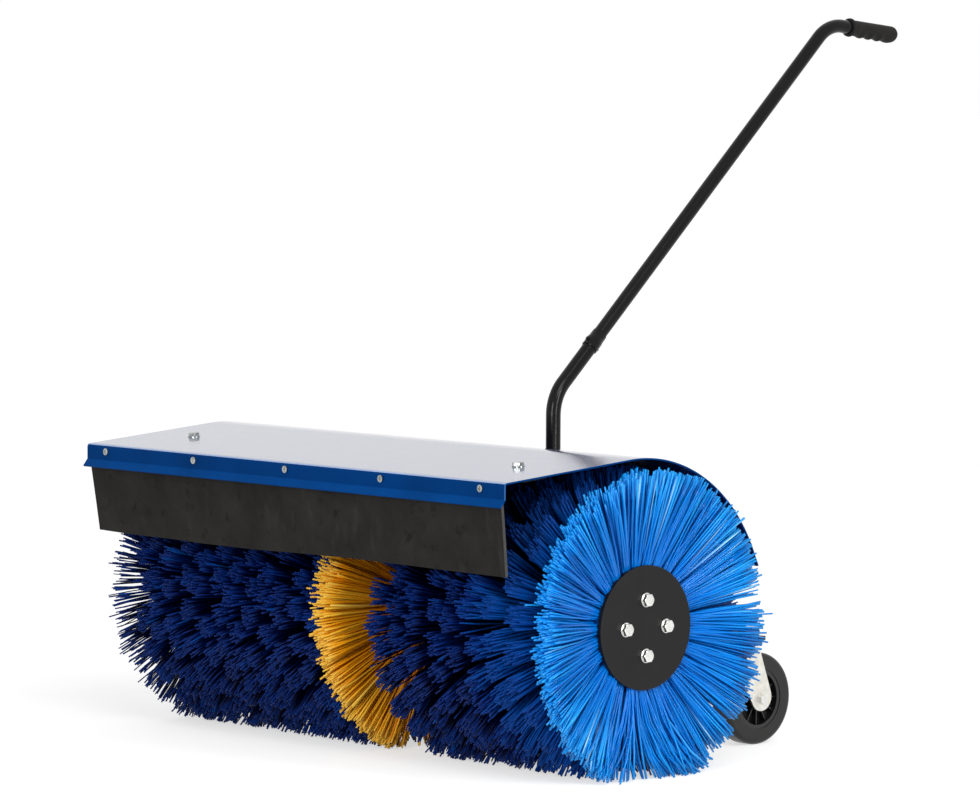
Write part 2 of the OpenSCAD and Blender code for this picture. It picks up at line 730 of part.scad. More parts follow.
// Core drum between two positions with end plates, hubs and tapped holes
module core(x0, x1, p0, p1, holes_at) {
  color(GREY) translate([0, 0, zax]) difference() {
    union() {
      ring_x(x0, x1, core_r, core_r - 3);
      for (p = [p0, p1]) bar_x(p, p + 8, core_r - 2);
      bar_x(p0 + 4, p0 + 34, 26);
      bar_x(p1 - 26, p1 + 4, 26);
    }
    bar_x(x0 - 1, x1 + 1, shaft_r + 0.02);
    translate([holes_at < 0 ? x0 - 1 : x1 - 61, -4.02, shaft_r - 4]) cube([62, 8.04, 7.05]);
    for (a = [0:90:270]) rotate([a, 0, 0]) translate([0, 0, end_pcd / 2])
      bar_x(holes_at < 0 ? x0 - 1 : x1 - 20, holes_at < 0 ? x0 + 20 : x1 + 1, 6);
  }
}

module core_left() {
  core(-core_out, gap0, -core_out, gear_x - boss_h - 14, -1);
}

module core_right() {
  core(gap1, core_out, gear_x + boss_h + 6, core_out - 8, 1);
}

// End disc, side is -1 or 1
module end_disc(side) {
  color(BLACK) translate([0, 0, zax]) difference() {
    bar_x(side < 0 ? -brush_half : core_out, side < 0 ? -core_out : brush_half, disc_r);
    for (a = [0:90:270]) rotate([a, 0, 0]) translate([0, 0, end_pcd / 2])
      bar_x(side * brush_half - 10, side * brush_half + 10, 6.3);
  }
}

module end_disc_left() {
  end_disc(-1);
}

module end_disc_right() {
  end_disc(1);
}

module end_bolts() {
  color(ZINC) translate([0, 0, zax]) for (s = [-1, 1]) for (a = [0:90:270]) rotate([a, 0, 0])
    translate([s * brush_half, 0, end_pcd / 2]) rotate([0, s * 90, 0]) hex_bolt(5.9, disc_t + 12, false);
}

// Point of a bristle sleeve from its position, angle and radius
function ring_pt(x, a, r) = [x, r * sin(a), zax + r * cos(a)];

// Bristle sleeve: rows of strands grow from every other facet of a many sided sleeve.
// Facets of the sleeve that carry no strand stay as they are, and every face is a triangle.
module bristles(x0, x1, rows, root_w, tip_w, tip_a, lean) {
  n = 2 * strands;
  st = 360 / n;
  p = (x1 - x0) / rows;
  gx = concat([x0], [for (i = [0:rows - 1]) for (e = [-0.5, 0.5]) x0 + p * (i + 0.5) + e * root_w], [x1]);
  g = len(gx);
  outer = [for (j = [0:g - 1]) for (i = [0:n - 1]) ring_pt(gx[j], i * st, sleeve_r)];
  inner = [for (j = [0:1]) for (i = [0:n - 1]) ring_pt(j == 0 ? x0 : x1, i * st, sleeve_in)];
  tips = [for (k = [0:rows - 1]) for (i = [0:strands - 1]) for (c = [0:3])
    let (xm = x0 + p * (k + 0.5) + lean * (k + 1) / rows,
      am = (2 * i + (k % 2) + 0.5) * st,
      xx = xm + (c == 1 || c == 2 ? 0.5 : -0.5) * tip_w,
      aa = am + (c > 1 ? 0.5 : -0.5) * tip_a)
    ring_pt(xx, aa, tip_r)];
  no = len(outer);
  nt = no + len(inner);
  skin = [for (j = [0:g - 2]) for (i = [0:n - 1])
    let (bare = (j % 2 == 0) || ((i + (j - 1) / 2) % 2 != 0),
      a = j * n + i, b = (j + 1) * n + i, c = (j + 1) * n + (i + 1) % n, d = j * n + (i + 1) % n)
    if (bare) for (t = [[a, b, c], [a, c, d]]) t];
  strand = [for (k = [0:rows - 1]) for (i = [0:strands - 1])
    let (j = 2 * k + 1, ii = (2 * i + (k % 2)) % n, t = nt + 4 * (k * strands + i),
      q = [j * n + ii, (j + 1) * n + ii, (j + 1) * n + (ii + 1) % n, j * n + (ii + 1) % n])
    for (f = [for (c = [0:3]) for (h = [[q[c], q[(c + 1) % 4], t + (c + 1) % 4],
      [q[c], t + (c + 1) % 4, t + c]]) h]) f];
  caps = [for (k = [0:rows * strands - 1]) for (h = [[0, 1, 2], [0, 2, 3]]) h + (nt + 4 * k) * [1, 1, 1]];
  bore = [for (i = [0:n - 1]) let (a = no + i, b = no + n + i, c = no + n + (i + 1) % n, d = no + (i + 1) % n)
    for (t = [[a, c, b], [a, d, c]]) t];
  ends = [for (i = [0:n - 1]) let (e = (i + 1) % n, l = (g - 1) * n)
    for (t = [[i, e, no + e], [i, no + e, no + i], [l + i, no + n + e, l + e], [l + i, no + n + i, no + n + e]]) t];
  polyhedron(points = concat(outer, inner, tips), faces = concat(skin, strand, caps, bore, ends));
}

module bristles_left() {
  color(NAVY) bristles(-core_out + 1, gap0 - centre_w - 1, 6, 24, 30, 5.5, 0);
}

module bristles_centre() {
  color(GOLD) bristles(gap0 - centre_w, gap0 - 1, 1, 12, 18, 5.5, 0);
}

module bristles_right() {
  color(NAVY) bristles(gap1 + 1, core_out - end_w - 1, 4, 24, 30, 5.5, 0);
}

module bristles_end() {
  color(AZURE) bristles(core_out - end_w, core_out - 0.5, 2, 5, 9, 5.5, 6);
}

// Caster fork with two legs and a top plate that turns on the kingpin
module fork(side) {
  x0 = side * caster_x;
  color(ZINC) difference() {
    union() {
      translate([x0 - fork_in - fork_t, pivot_y - fork_half, fork_top - fork_t])
        cube([2 * (fork_in + fork_t), fork_half + fork_rear, fork_t]);
      for (s = [-1, 1]) {
        xa = s < 0 ? x0 - fork_in - fork_t : x0 + fork_in;
        plate_x(xa, xa + fork_t, concat([[pivot_y - fork_half, fork_top], [pivot_y - fork_half, fork_top - 12]],
          arc_pts([wheel_y - 1.5, wheel_r + 3], fork_eye, 200, 375, 14),
          [[pivot_y + fork_rear, fork_top - 4], [pivot_y + fork_rear, fork_top]]));
      }
    }
    translate([x0, pivot_y, fork_top - 10]) cylinder(h = 20, r = king_r + run_fit);
    translate([0, wheel_y, wheel_r]) bar_x(x0 - 40, x0 + 40, axle_r + 0.02);
  }
}

module fork_left() {
  fork(-1);
}

module fork_right() {
  fork(1);
}

// Ball race cup between the fork and its plate
module race(side) {
  color(ZINC) translate([side * caster_x, pivot_y, fork_top]) difference() {
    union() {
      cylinder(h = race_h - 3, r = 23);
      translate([0, 0, race_h - 3.1]) cylinder(h = 2.6, r = 20);
    }
    translate([0, 0, -1]) cylinder(h = 20, r = king_r + run_fit);
  }
}

module race_left() {
  race(-1);
}

module race_right() {
  race(1);
}

// Wheel axle bolt with head, shank and nut outside the fork legs
module wheel_bolt(side) {
  w = fork_in + fork_t;
  color(ZINC) translate([side * caster_x, wheel_y, wheel_r]) {
    bar_x(-w - 4, w + 4, axle_r);
    for (s = [-1, 1]) translate([s > 0 ? w : -w - 5, 0, 0]) rotate([0, 90, 0]) cylinder(h = 5, r = 7.5, $fn = 6);
  }
}

module wheel_bolt_left() {
  wheel_bolt(-1);
}

module wheel_bolt_right() {
  wheel_bolt(1);
}

// Wheel centre with hub, web and ribs on both faces
module rim(side) {
  color(BLACK) translate([side * caster_x, wheel_y, wheel_r]) difference() {
    union() {
      ring_x(-tyre_w / 2 + 1, tyre_w / 2 - 1, seat_r, seat_r - 6);
      bar_x(-2.5, 2.5, seat_r - 3);
      bar_x(-tyre_w / 2 - 1, tyre_w / 2 + 1, 14);
      for (a = [0:30:330]) rotate([a, 0, 0]) translate([-tyre_w / 2 + 5, -0.9, 12])
        cube([tyre_w - 10, 1.8, seat_r - 15]);
    }
    bar_x(-40, 40, bush_r);
  }
}

module rim_left() {
  rim(-1);
}

module rim_right() {
  rim(1);
}

// Tyre with rounded shoulders
module tyre(side) {
  q = 7;
  h = tyre_w / 2;
  color(BLACK) translate([side * caster_x, wheel_y, wheel_r]) rotate([0, 90, 0]) rotate_extrude() union() {
    translate([seat_r, -h]) square([wheel_r - seat_r - q, 2 * h]);
    translate([seat_r, -h + q]) square([wheel_r - seat_r, 2 * h - 2 * q]);
    for (s = [-1, 1]) translate([wheel_r - q, s * (h - q)]) circle(r = q);
  }
}

module tyre_left() {
  tyre(-1);
}

module tyre_right() {
  tyre(1);
}

// Plain bush pressed into the wheel centre
module bush(side) {
  color(BRASS) translate([side * caster_x, wheel_y, wheel_r])
    ring_x(-tyre_w / 2 - 2.5, tyre_w / 2 + 2.5, bush_r, axle_r + run_fit);
}

module bush_left() {
  bush(-1);
}

module bush_right() {
  bush(1);
}

place() hood();
place() hood_rail();
place() hood_bolts();
place() hood_straps();
place() strap_bolts();
place() front_flap();
place() flap_strip();
place() flap_screws();
place() gearbox_left();
place() gearbox_right();
place() gearbox_bolts();
place() stay_bolts();
place() axle_bearings();
place() axle_seals();
place() neck_tube();
place() neck_screws();
place() drive_bearings();
place() drive_seal();
place() rear_frame();
place() beam_caps();
place() socket_bolt();
place() handle_lower();
place() handle_upper();
place() handle_collar();
place() collar_bolt();
place() handle_grip();
place() caster_plate_left();
place() caster_plate_right();
place() caster_bolts();
place() kingpin_left();
place() kingpin_right();
place() brush_shaft();
place() ring_gear();
place() shaft_keys();
place() core_left();
place() core_right();
place() end_disc_left();
place() end_disc_right();
place() end_bolts();
place() bristles_left();
place() bristles_right();
place() bristles_centre();
place() bristles_end();
place() drive_shaft();
place() pinion();
place() fork_left();
place() fork_right();
place() race_left();
place() race_right();
place() wheel_bolt_left();
place() wheel_bolt_right();
place() rim_left();
place() rim_right();
place() tyre_left();
place() tyre_right();
place() bush_left();
place() bush_right();
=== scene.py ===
"""Looks of the power brush sweeper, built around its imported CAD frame. Lengths are in metres."""

import json
import math
from dataclasses import dataclass

import bpy
import numpy as np
from mathutils import Matrix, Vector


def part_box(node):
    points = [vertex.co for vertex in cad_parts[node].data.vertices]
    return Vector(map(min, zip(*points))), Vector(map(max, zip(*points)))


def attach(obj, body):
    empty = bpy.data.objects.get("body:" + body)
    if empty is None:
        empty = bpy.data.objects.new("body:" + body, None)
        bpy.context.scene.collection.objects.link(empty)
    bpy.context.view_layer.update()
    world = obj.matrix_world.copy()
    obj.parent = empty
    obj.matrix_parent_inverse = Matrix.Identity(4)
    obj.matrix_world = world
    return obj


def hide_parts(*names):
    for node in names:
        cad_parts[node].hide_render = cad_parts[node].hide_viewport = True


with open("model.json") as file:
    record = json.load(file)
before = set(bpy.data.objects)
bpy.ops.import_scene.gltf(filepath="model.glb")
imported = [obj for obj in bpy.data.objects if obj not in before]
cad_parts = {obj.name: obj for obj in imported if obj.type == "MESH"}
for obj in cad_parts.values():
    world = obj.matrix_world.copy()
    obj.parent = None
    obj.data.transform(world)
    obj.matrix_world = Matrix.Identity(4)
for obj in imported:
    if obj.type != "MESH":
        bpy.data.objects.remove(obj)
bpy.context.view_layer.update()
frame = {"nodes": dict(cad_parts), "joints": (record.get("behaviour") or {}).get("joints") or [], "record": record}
nodes = frame["nodes"]

# Sizes repeated from the CAD source; y is measured from the brush axle
MM = 0.001
axle = [j["pos_m"] for j in frame["joints"] if j["name"] == "brush_spin"][0]
AXLE_Y = axle[1]
AXLE_Z = axle[2]
SLEEVE_R = 80 * MM
SLEEVE_IN = 70.6 * MM
STRAP_X = 250 * MM
FOLD_Y = -268 * MM
FOLD_Z = AXLE_Z + 213 * MM
FOLD_R = 5 * MM
TILT = math.radians(4.9)
SHEET = 2.5 * MM
HOOD_HALF = 450 * MM
ARC_Y = -13 * MM
ARC_Z = AXLE_Z - 9 * MM
ARC_END = math.radians(25)
HEM = 24 * MM
FLANGE = 22 * MM
LIP_OUT = 8 * MM
LIP_DROP = 10 * MM
FLAP_HALF = 0.44
FLAP_THICK = 5 * MM
FLAP_LEAN = 10.5 * MM
TOP_BOLT_X = 349 * MM
TOP_BOLT_Y = -149 * MM

# Steps of a full circle on round pieces
ROUND = 72


# Mesh making


def grid_faces(rows, cols, wrap_rows=False, wrap_cols=False):
    """Four cornered faces of a grid of points that is kept row by row.

    A wrapped side joins its last line to its first.
    """
    i = np.arange(rows if wrap_rows else rows - 1)[:, None]
    j = np.arange(cols if wrap_cols else cols - 1)[None, :]
    a = i * cols + j
    b = i * cols + (j + 1) % cols
    c = (i + 1) % rows * cols + (j + 1) % cols
    d = (i + 1) % rows * cols + j
    return np.stack([a, b, c, d], -1).reshape(-1, 4)


def make_mesh(name, points, *face_sets):
    """Mesh from an array of points and arrays of faces, each array with one number of corners."""
    mesh = bpy.data.meshes.new(name)
    corners = np.concatenate([f.ravel() for f in face_sets]).astype(np.int32)
    counts = np.concatenate([np.full(len(f), f.shape[1]) for f in face_sets])
    starts = np.concatenate([[0], np.cumsum(counts)[:-1]]).astype(np.int32)
    mesh.vertices.add(len(points))
    mesh.vertices.foreach_set("co", np.ascontiguousarray(points, np.float32).ravel())
    mesh.loops.add(len(corners))
    mesh.loops.foreach_set("vertex_index", corners)
    mesh.polygons.add(len(counts))
    mesh.polygons.foreach_set("loop_start", starts)
    mesh.polygons.foreach_set("use_smooth", np.ones(len(counts), bool))
    mesh.update(calc_edges=True)
    return mesh


def add_piece(name, mesh, body, slot, node, look=None):
    """Object at the origin for a finished mesh.

    It rides on a body, stands for a CAD node and takes the finish of its slot, or another look.
    """
    obj = bpy.data.objects.new(name, mesh)
    bpy.context.scene.collection.objects.link(obj)
    mesh.materials.append(finishes[look or slot])
    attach(obj, body)
    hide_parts(node)
    return obj


def add_values(mesh, name, values):
    """Stores one number for each point of a mesh."""
    layer = mesh.attributes.new(name, "FLOAT", "POINT")
    layer.data.foreach_set("value", np.ascontiguousarray(values, np.float32).ravel())


def soften(obj, width):
    """Rounds the edges that turn by more than 35 degrees with a narrow bevel."""
    bevel = obj.modifiers.new("edge_round", "BEVEL")
    bevel.width = width
    bevel.segments = 2
    bevel.limit_method = "ANGLE"
    bevel.angle_limit = math.radians(35)
    bevel.harden_normals = True


def unit(v):
    """Vectors brought to length one."""
    v = np.asarray(v, float)
    return v / np.linalg.norm(v, axis=-1, keepdims=True)


def full_turn(steps):
    """Angles of a full circle in even steps, without the last, which is the first again."""
    return np.linspace(0, 2 * np.pi, steps, endpoint=False)


def arc(cy, cz, r, a0, a1, n):
    """Points of a circle of radius r about (cy, cz), from angle a0 to a1 in n steps."""
    a = np.linspace(a0, a1, n + 1)
    return np.stack([cy + r * np.cos(a), cz + r * np.sin(a)], -1)


def line(p, q, n):
    """Points on the straight line from p to q in n steps."""
    t = np.linspace(0, 1, n + 1)[:, None]
    return (1 - t) * np.asarray(p) + t * np.asarray(q)


def closed_ends(centres, rings):
    """Points and faces of a row of rings about their centres, closed by a fan at both ends."""
    rows, around = rings.shape[:2]
    k = np.arange(around)
    last = (rows - 1) * around
    front = np.stack([last + k, last + (k + 1) % around, np.full(around, last + around)], -1)
    rear = np.stack([(k + 1) % around, k, np.full(around, last + around + 1)], -1)
    points = np.concatenate([rings.reshape(-1, 3), centres[-1:], centres[:1]])
    return points, grid_faces(rows, around, False, True), np.concatenate([front, rear])


def outward(points, faces):
    """Turns every face of a closed surface round where the volume it encloses comes out negative."""
    a, b, c, d = (points[faces[:, k]] for k in range(4))
    volume = np.sum(np.cross(b - a, c - a) * a) + np.sum(np.cross(c - a, d - a) * a)
    return points, faces if volume > 0 else faces[:, ::-1]


def turned(profile, start, axis):
    """Closed profile of (distance along the axis, radius) turned about an axis through start."""
    axis = unit(axis)
    u = unit(np.cross(axis, [0.0, 0.3, 1.0]))
    v = np.cross(axis, u)
    a = full_turn(ROUND)[:, None, None]
    s = np.asarray(profile)[None, :, 0, None]
    r = np.asarray(profile)[None, :, 1, None]
    points = np.asarray(start) + s * axis + r * (np.cos(a) * u + np.sin(a) * v)
    return outward(points.reshape(-1, 3), grid_faces(ROUND, len(profile), True, True))


# Finishes

finishes = {}
BLACK = (0, 0, 0)
WHITE = (1, 1, 1)

# Sockets of the colour mix node: factor, both colours and the result
MIX_IN = (0, 6, 7)
MIX_OUT = 2


class Finish:
    """Material under construction, kept by its name in finishes.

    Short calls add nodes and join them to the shader.
    """

    def __init__(self, name, **values):
        self.mat = bpy.data.materials.new(name)
        self.mat.use_nodes = True
        self.tree = self.mat.node_tree
        self.shader = self.tree.nodes["Principled BSDF"]
        for key, value in values.items():
            self.shader.inputs[key.replace("_", " ")].default_value = value
        finishes[name] = self.mat

    def node(self, kind, **inputs):
        """New node with its inputs set or joined."""
        made = self.tree.nodes.new(kind)
        for key, value in inputs.items():
            self.put(made.inputs[key], value)
        return made

    def put(self, socket, value):
        """Joins a socket to another one, or sets it to a plain value."""
        if isinstance(value, bpy.types.NodeSocket):
            self.tree.links.new(value, socket)
        else:
            socket.default_value = value

    def noise(self, scale, detail=3.0, stretch=(1, 1, 1), rough=0.5):
        """Cloudy pattern in the object's own coordinates."""
        where = self.node("ShaderNodeTexCoord").outputs["Object"]
        where = self.node("ShaderNodeMapping", Vector=where, Scale=stretch).outputs["Vector"]
        made = self.node("ShaderNodeTexNoise", Vector=where, Scale=scale, Detail=detail, Roughness=rough)
        return made.outputs["Fac"]

    def value(self, name):
        """Number that is stored on the mesh."""
        made = self.tree.nodes.new("ShaderNodeAttribute")
        made.attribute_name = name
        return made.outputs["Fac"]

    def ramp(self, fac, *stops):
        """Colours blended between stops of (place, colour)."""
        made = self.node("ShaderNodeValToRGB", Fac=fac)
        bar = made.color_ramp.elements
        while len(bar) < len(stops):
            bar.new(0.5)
        for element, (at, colour) in zip(bar, stops):
            element.position = at
            element.color = (*colour, 1.0)
        return made.outputs["Color"]

    def mix(self, fac, a, b):
        """Blend from a to b, each a socket or a plain colour."""
        made = self.tree.nodes.new("ShaderNodeMix")
        made.data_type = "RGBA"
        for at, value in zip(MIX_IN, (fac, a, b)):
            if isinstance(value, tuple):
                value = (*value, 1.0)
            self.put(made.inputs[at], value)
        return made.outputs[MIX_OUT]

    def level(self, fac, low, high):
        """Value from 0 to 1 spread from low to high."""
        made = self.node("ShaderNodeMapRange", Value=fac)
        made.inputs["To Min"].default_value = low
        made.inputs["To Max"].default_value = high
        return made.outputs["Result"]

    def colour(self, socket):
        """Joins the base colour."""
        self.put(self.shader.inputs["Base Color"], socket)

    def rough(self, socket):
        """Joins the roughness."""
        self.put(self.shader.inputs["Roughness"], socket)

    def bump(self, height, strength, distance):
        """Joins a bump made from a height."""
        made = self.node("ShaderNodeBump", Height=height, Strength=strength, Distance=distance)
        self.put(self.shader.inputs["Normal"], made.outputs["Normal"])


def near(colour, spread):
    """Darker and lighter neighbours of a colour."""
    return tuple(c * (1 - spread) for c in colour), tuple(min(1.0, c * (1 + spread)) for c in colour)


def painted(name, colour, rough, coat=0.0, spread=0.12, grain=900.0, gloss=0.5, worn=0.0):
    """Sprayed paint: slow colour drift, fine orange peel, small roughness changes and rubbed spots."""
    f = Finish(name, Coat_Weight=coat, Coat_Roughness=0.1, Coat_IOR=1.33, Specular_IOR_Level=gloss)
    low, high = near(colour, spread)
    tone = f.ramp(f.noise(14.0, 4.0), (0.3, low), (0.7, high))
    if worn:
        spots = f.ramp(f.noise(90.0, 8.0, rough=0.7), (0.66, BLACK), (0.74, (worn, worn, worn)))
        tone = f.mix(spots, tone, (0.12, 0.12, 0.12))
    f.colour(tone)
    f.rough(f.level(f.noise(45.0, 5.0), rough * 0.8, rough * 1.25))
    f.bump(f.noise(grain, 2.0), 0.12, 0.0004)


def plated(name, colour, rough, spread=0.12, stain=0.0):
    """Plated or bare metal: cloudy tone, short brushed streaks, mottled roughness, faint yellow stains."""
    f = Finish(name, Metallic=1.0)
    low, high = near(colour, spread)
    tone = f.ramp(f.noise(120.0, 5.0), (0.3, low), (0.7, high))
    if stain:
        patch = f.ramp(f.noise(55.0, 4.0), (0.5, BLACK), (0.8, (stain, stain, stain)))
        tone = f.mix(patch, tone, (0.80, 0.66, 0.42))
    f.colour(tone)
    f.rough(f.level(f.noise(60.0, 6.0, (1, 1, 6)), rough * 0.75, rough * 1.35))
    f.bump(f.noise(700.0, 3.0, (1, 1, 5)), 0.15, 0.0003)


def moulded(name, colour, rough, spread=0.25, gloss=0.2):
    """Moulded rubber or plastic: dusty tone and a fine pebbled skin."""
    f = Finish(name, Specular_IOR_Level=gloss)
    low, high = near(colour, spread)
    f.colour(f.ramp(f.noise(35.0, 6.0), (0.25, low), (0.75, high)))
    f.rough(f.level(f.noise(80.0, 4.0), rough * 0.85, min(1.0, rough * 1.15)))
    f.bump(f.noise(500.0, 3.0), 0.25, 0.0004)


def cut_sheet(name):
    """Cut rubber sheet: cloudy brown grey, dark blotches and chalky scuffs running down."""
    f = Finish(name, Specular_IOR_Level=0.12)
    cloud = f.noise(16.0, 9.0, rough=0.62)
    base = f.ramp(cloud, (0.28, (0.0092, 0.0088, 0.0078)), (0.72, (0.0205, 0.0194, 0.0172)))
    blot = f.ramp(f.noise(38.0, 6.0, rough=0.6), (0.30, WHITE), (0.42, BLACK))
    base = f.mix(blot, base, (0.0058, 0.0054, 0.0048))
    scuff = f.ramp(f.noise(38.0, 7.0, (1, 1, 0.35)), (0.60, BLACK), (0.85, WHITE))
    f.colour(f.mix(scuff, base, (0.034, 0.032, 0.029)))
    f.rough(f.level(f.noise(40.0, 5.0), 0.6, 0.9))
    f.bump(f.noise(420.0, 4.0), 0.3, 0.0005)


def strand_plastic(name, dark, middle, light, painted_glint, root, tip, shade=(0.15, 0.75), rough=0.34, gloss=0.2):
    """Bristle plastic: each strand has its own tone, and a few pale strands are painted glints.

    The root is painted with shade between the two places of shade, and the outer end is painted lighter, as lit.
    """
    f = Finish(name, Specular_IOR_Level=gloss)
    # The last stop is a painted glint on a few strands.
    tone = f.ramp(f.value("tone"), (0.0, dark), (0.45, middle), (0.86, light), (0.97, painted_glint))
    # Painted shade: the root part of each strand is darkened towards the root colour.
    along = f.ramp(f.value("along"), (shade[0], BLACK), (shade[1], WHITE))
    body = f.mix(along, root, tone)
    # Painted light: the outer end is lightened towards the tip colour.
    end = f.ramp(f.value("along"), (0.86, BLACK), (1.0, (0.75, 0.75, 0.75)))
    body = f.mix(end, body, tip)
    f.colour(f.mix(f.level(f.noise(260.0, 2.0), 0.0, 0.22), body, dark))
    f.rough(f.level(f.value("tone"), rough * 0.85, rough * 1.2))


painted("hood_paint", (0.0, 0.026, 0.165), 0.17, coat=1.0, spread=0.05, gloss=0.22)
painted("hood_front", (0.0, 0.036, 0.165), 0.42, spread=0.10, gloss=0.02)
# Painted highlight: a lighter copy of the paint for the rims of the flange.
painted("hood_edge", (0.03, 0.12, 0.34), 0.42, spread=0.10, gloss=0.02)
# Painted highlight: a pale copy of the paint for the upper half of the fold.
painted("hood_fold", (0.30, 0.42, 0.68), 0.3, spread=0.05, gloss=0.3)
# Painted light: the lip in a lighter copy of the paint, as lit from above.
painted("hood_lip", (0.0, 0.050, 0.220), 0.42, spread=0.10, gloss=0.02)
painted("frame_paint", (0.008, 0.008, 0.009), 0.36, gloss=0.22, worn=0.15)
painted("gearbox_paint", (0.03, 0.03, 0.033), 0.5, grain=300.0, gloss=0.3)
painted("handle_paint", (0.0045, 0.0043, 0.0045), 0.12, spread=0.25, gloss=0.16, worn=0.04)
painted("disc_paint", (0.006, 0.0055, 0.0055), 0.34, spread=0.25, gloss=0.2)
plated("zinc", (0.72, 0.72, 0.69), 0.26)
plated("fork_zinc", (0.70, 0.69, 0.64), 0.38, stain=0.4)
# Zinc painted darker for the hood bolts and flap screws: a painted reflection of dark surroundings.
plated("bolt_zinc", (0.36, 0.38, 0.37), 0.20, spread=0.35)
plated("steel", (0.55, 0.55, 0.57), 0.34)
plated("bush_brass", (0.72, 0.5, 0.2), 0.3)
cut_sheet("flap_rubber")
moulded("flap_edge", (0.050, 0.050, 0.048), 0.6, gloss=0.12)
moulded("seal_rubber", (0.012, 0.012, 0.012), 0.6)
moulded("grip_rubber", (0.011, 0.010, 0.0095), 0.6, spread=0.35, gloss=0.15)
moulded("cap_plastic", (0.014, 0.014, 0.014), 0.5)
moulded("rim_plastic", (0.009, 0.009, 0.009), 0.22, gloss=0.42)
moulded("tyre_rubber", (0.0075, 0.0075, 0.0070), 0.30, gloss=0.36)
# In each bristle plastic below, root is the colour of the painted shade at the strand's root, tip the painted
# light on its outer end, and the palest stop a painted glint.
strand_plastic(
    "bristle_navy",
    dark=(0.0, 0.0008, 0.013),
    middle=(0.0, 0.0054, 0.066),
    light=(0.0, 0.030, 0.24),
    painted_glint=(0.003, 0.115, 0.52),
    root=(0.0, 0.0003, 0.004),
    tip=(0.001, 0.028, 0.205),
    shade=(0.3, 0.95),
    gloss=0.08,
)
strand_plastic(
    "bristle_gold",
    dark=(0.72, 0.24, 0.001),
    middle=(1.0, 0.47, 0.010),
    light=(1.0, 0.64, 0.05),
    painted_glint=(1.0, 0.74, 0.14),
    root=(0.50, 0.14, 0.001),
    tip=(1.0, 0.66, 0.10),
    gloss=0.15,
)
strand_plastic(
    "bristle_azure",
    dark=(0.0, 0.090, 0.42),
    middle=(0.0, 0.27, 0.80),
    light=(0.02, 0.43, 0.97),
    painted_glint=(0.32, 0.70, 1.0),
    root=(0.0, 0.17, 0.63),
    tip=(0.01, 0.35, 0.91),
    rough=0.19,
    gloss=0.20,
)

# CAD nodes that look different from the rest of their slot
OTHER_LOOKS = {
    "fork_left": "fork_zinc",
    "fork_right": "fork_zinc",
    "hood_bolts": "bolt_zinc",
    "flap_screws": "bolt_zinc",
}
for part in frame["record"]["subparts"]:
    look = OTHER_LOOKS.get(part["node"], part["material_slot"])
    skin = nodes[part["node"]].data.materials
    skin.clear()
    skin.append(finishes[look])


# Sheets: hood and rubber flap

LIP_STEPS = 4
FLANGE_STEPS = 4
FOLD_STEPS = 8
TOP_STEPS = 24
REAR_STEPS = 56
HEM_STEPS = 4
HOOD_STEPS_X = 30
HOOD_LOOKS = ("hood_paint", "hood_front", "hood_edge", "hood_fold", "hood_lip")
FLAP_STEPS_X = 121
FLAP_STEPS_DOWN = 31

# Flap as it hangs: its ends, its top below the fold, its lower edge above the axle and that edge's rise in mm
FLAP_LEFT = -447 * MM
FLAP_RIGHT = 440 * MM
FLAP_DROP = 6 * MM
FLAP_LOW = 85.3
FLAP_SLOPE = 1.4

# Sines of x on the flap as (height in mm, waves, shift), and the curl of its left end
RIPPLES = ((1.3, 9, 0.6), (0.9, 21, 2.0))
EDGE_WAVE = (1.2, 5, 0.0)
CURL_START = 0.36
CURL_WAY = 0.08
CURL_DEEP = 9 * MM


def hood_path():
    """Outside of the hood's sheet in y and z: lip, front flange, fold, top, rear arc and hem.

    From the flange on each is tangent to the next, so the rear arc's radius is the distance of its centre
    from the plane of the top.
    """
    lip = (FOLD_Y - LIP_OUT, FOLD_Z - FLANGE - LIP_DROP)
    kink = (FOLD_Y, FOLD_Z - FLANGE)
    fold = (FOLD_Y + FOLD_R, FOLD_Z - FOLD_R * (1 - math.sin(TILT)) / math.cos(TILT))
    flat = math.pi / 2 + TILT
    rear_r = (ARC_Y - FOLD_Y) * math.sin(TILT) + (FOLD_Z - ARC_Z) * math.cos(TILT)
    bend = arc(*fold, FOLD_R, math.pi, flat, FOLD_STEPS)
    rear = arc(ARC_Y, ARC_Z, rear_r, flat, ARC_END, REAR_STEPS)
    hem = rear[-1] + HEM * np.array([math.sin(ARC_END), -math.cos(ARC_END)])
    stretches = [
        line(lip, kink, LIP_STEPS),
        line(kink, bend[0], FLANGE_STEPS)[1:],
        bend[1:],
        line(bend[-1], rear[0], TOP_STEPS)[1:],
        rear[1:],
        line(rear[-1], hem, HEM_STEPS)[1:],
    ]
    return np.concatenate(stretches)


def sheet_along_x(path, half, steps):
    """Path in y and z carried along x from minus half to half."""
    x = np.linspace(-half, half, steps + 1)
    points = np.empty((steps + 1, len(path), 3))
    points[..., 0] = x[:, None]
    points[..., 1] = path[None, :, 0] + AXLE_Y
    points[..., 2] = path[None, :, 1]
    return points.reshape(-1, 3), grid_faces(steps + 1, len(path))


def thicken(obj, depth):
    """Gives a sheet its thickness behind the drawn side; the rim takes the finish after its neighbour's."""
    wall = obj.modifiers.new("wall", "SOLIDIFY")
    wall.thickness = depth
    wall.offset = -1.0
    wall.use_even_offset = True
    wall.material_offset_rim = 1


def hood_looks(count, steps):
    """Which of the hood's finishes each face takes, by its place on the path.

    The lip comes first, painted lighter as lit from above, then the front, which is the flange and half of the
    fold, then the rest of the fold with a painted highlight. All that follows is plain paint.
    """
    along = np.arange(count) % steps
    fold_start = LIP_STEPS + FLANGE_STEPS
    ends = (LIP_STEPS, fold_start + FOLD_STEPS // 2, fold_start + FOLD_STEPS)
    looks = [HOOD_LOOKS.index(look) for look in ("hood_lip", "hood_front", "hood_fold")]
    return np.select([along < end for end in ends], looks, 0).astype(np.int32)


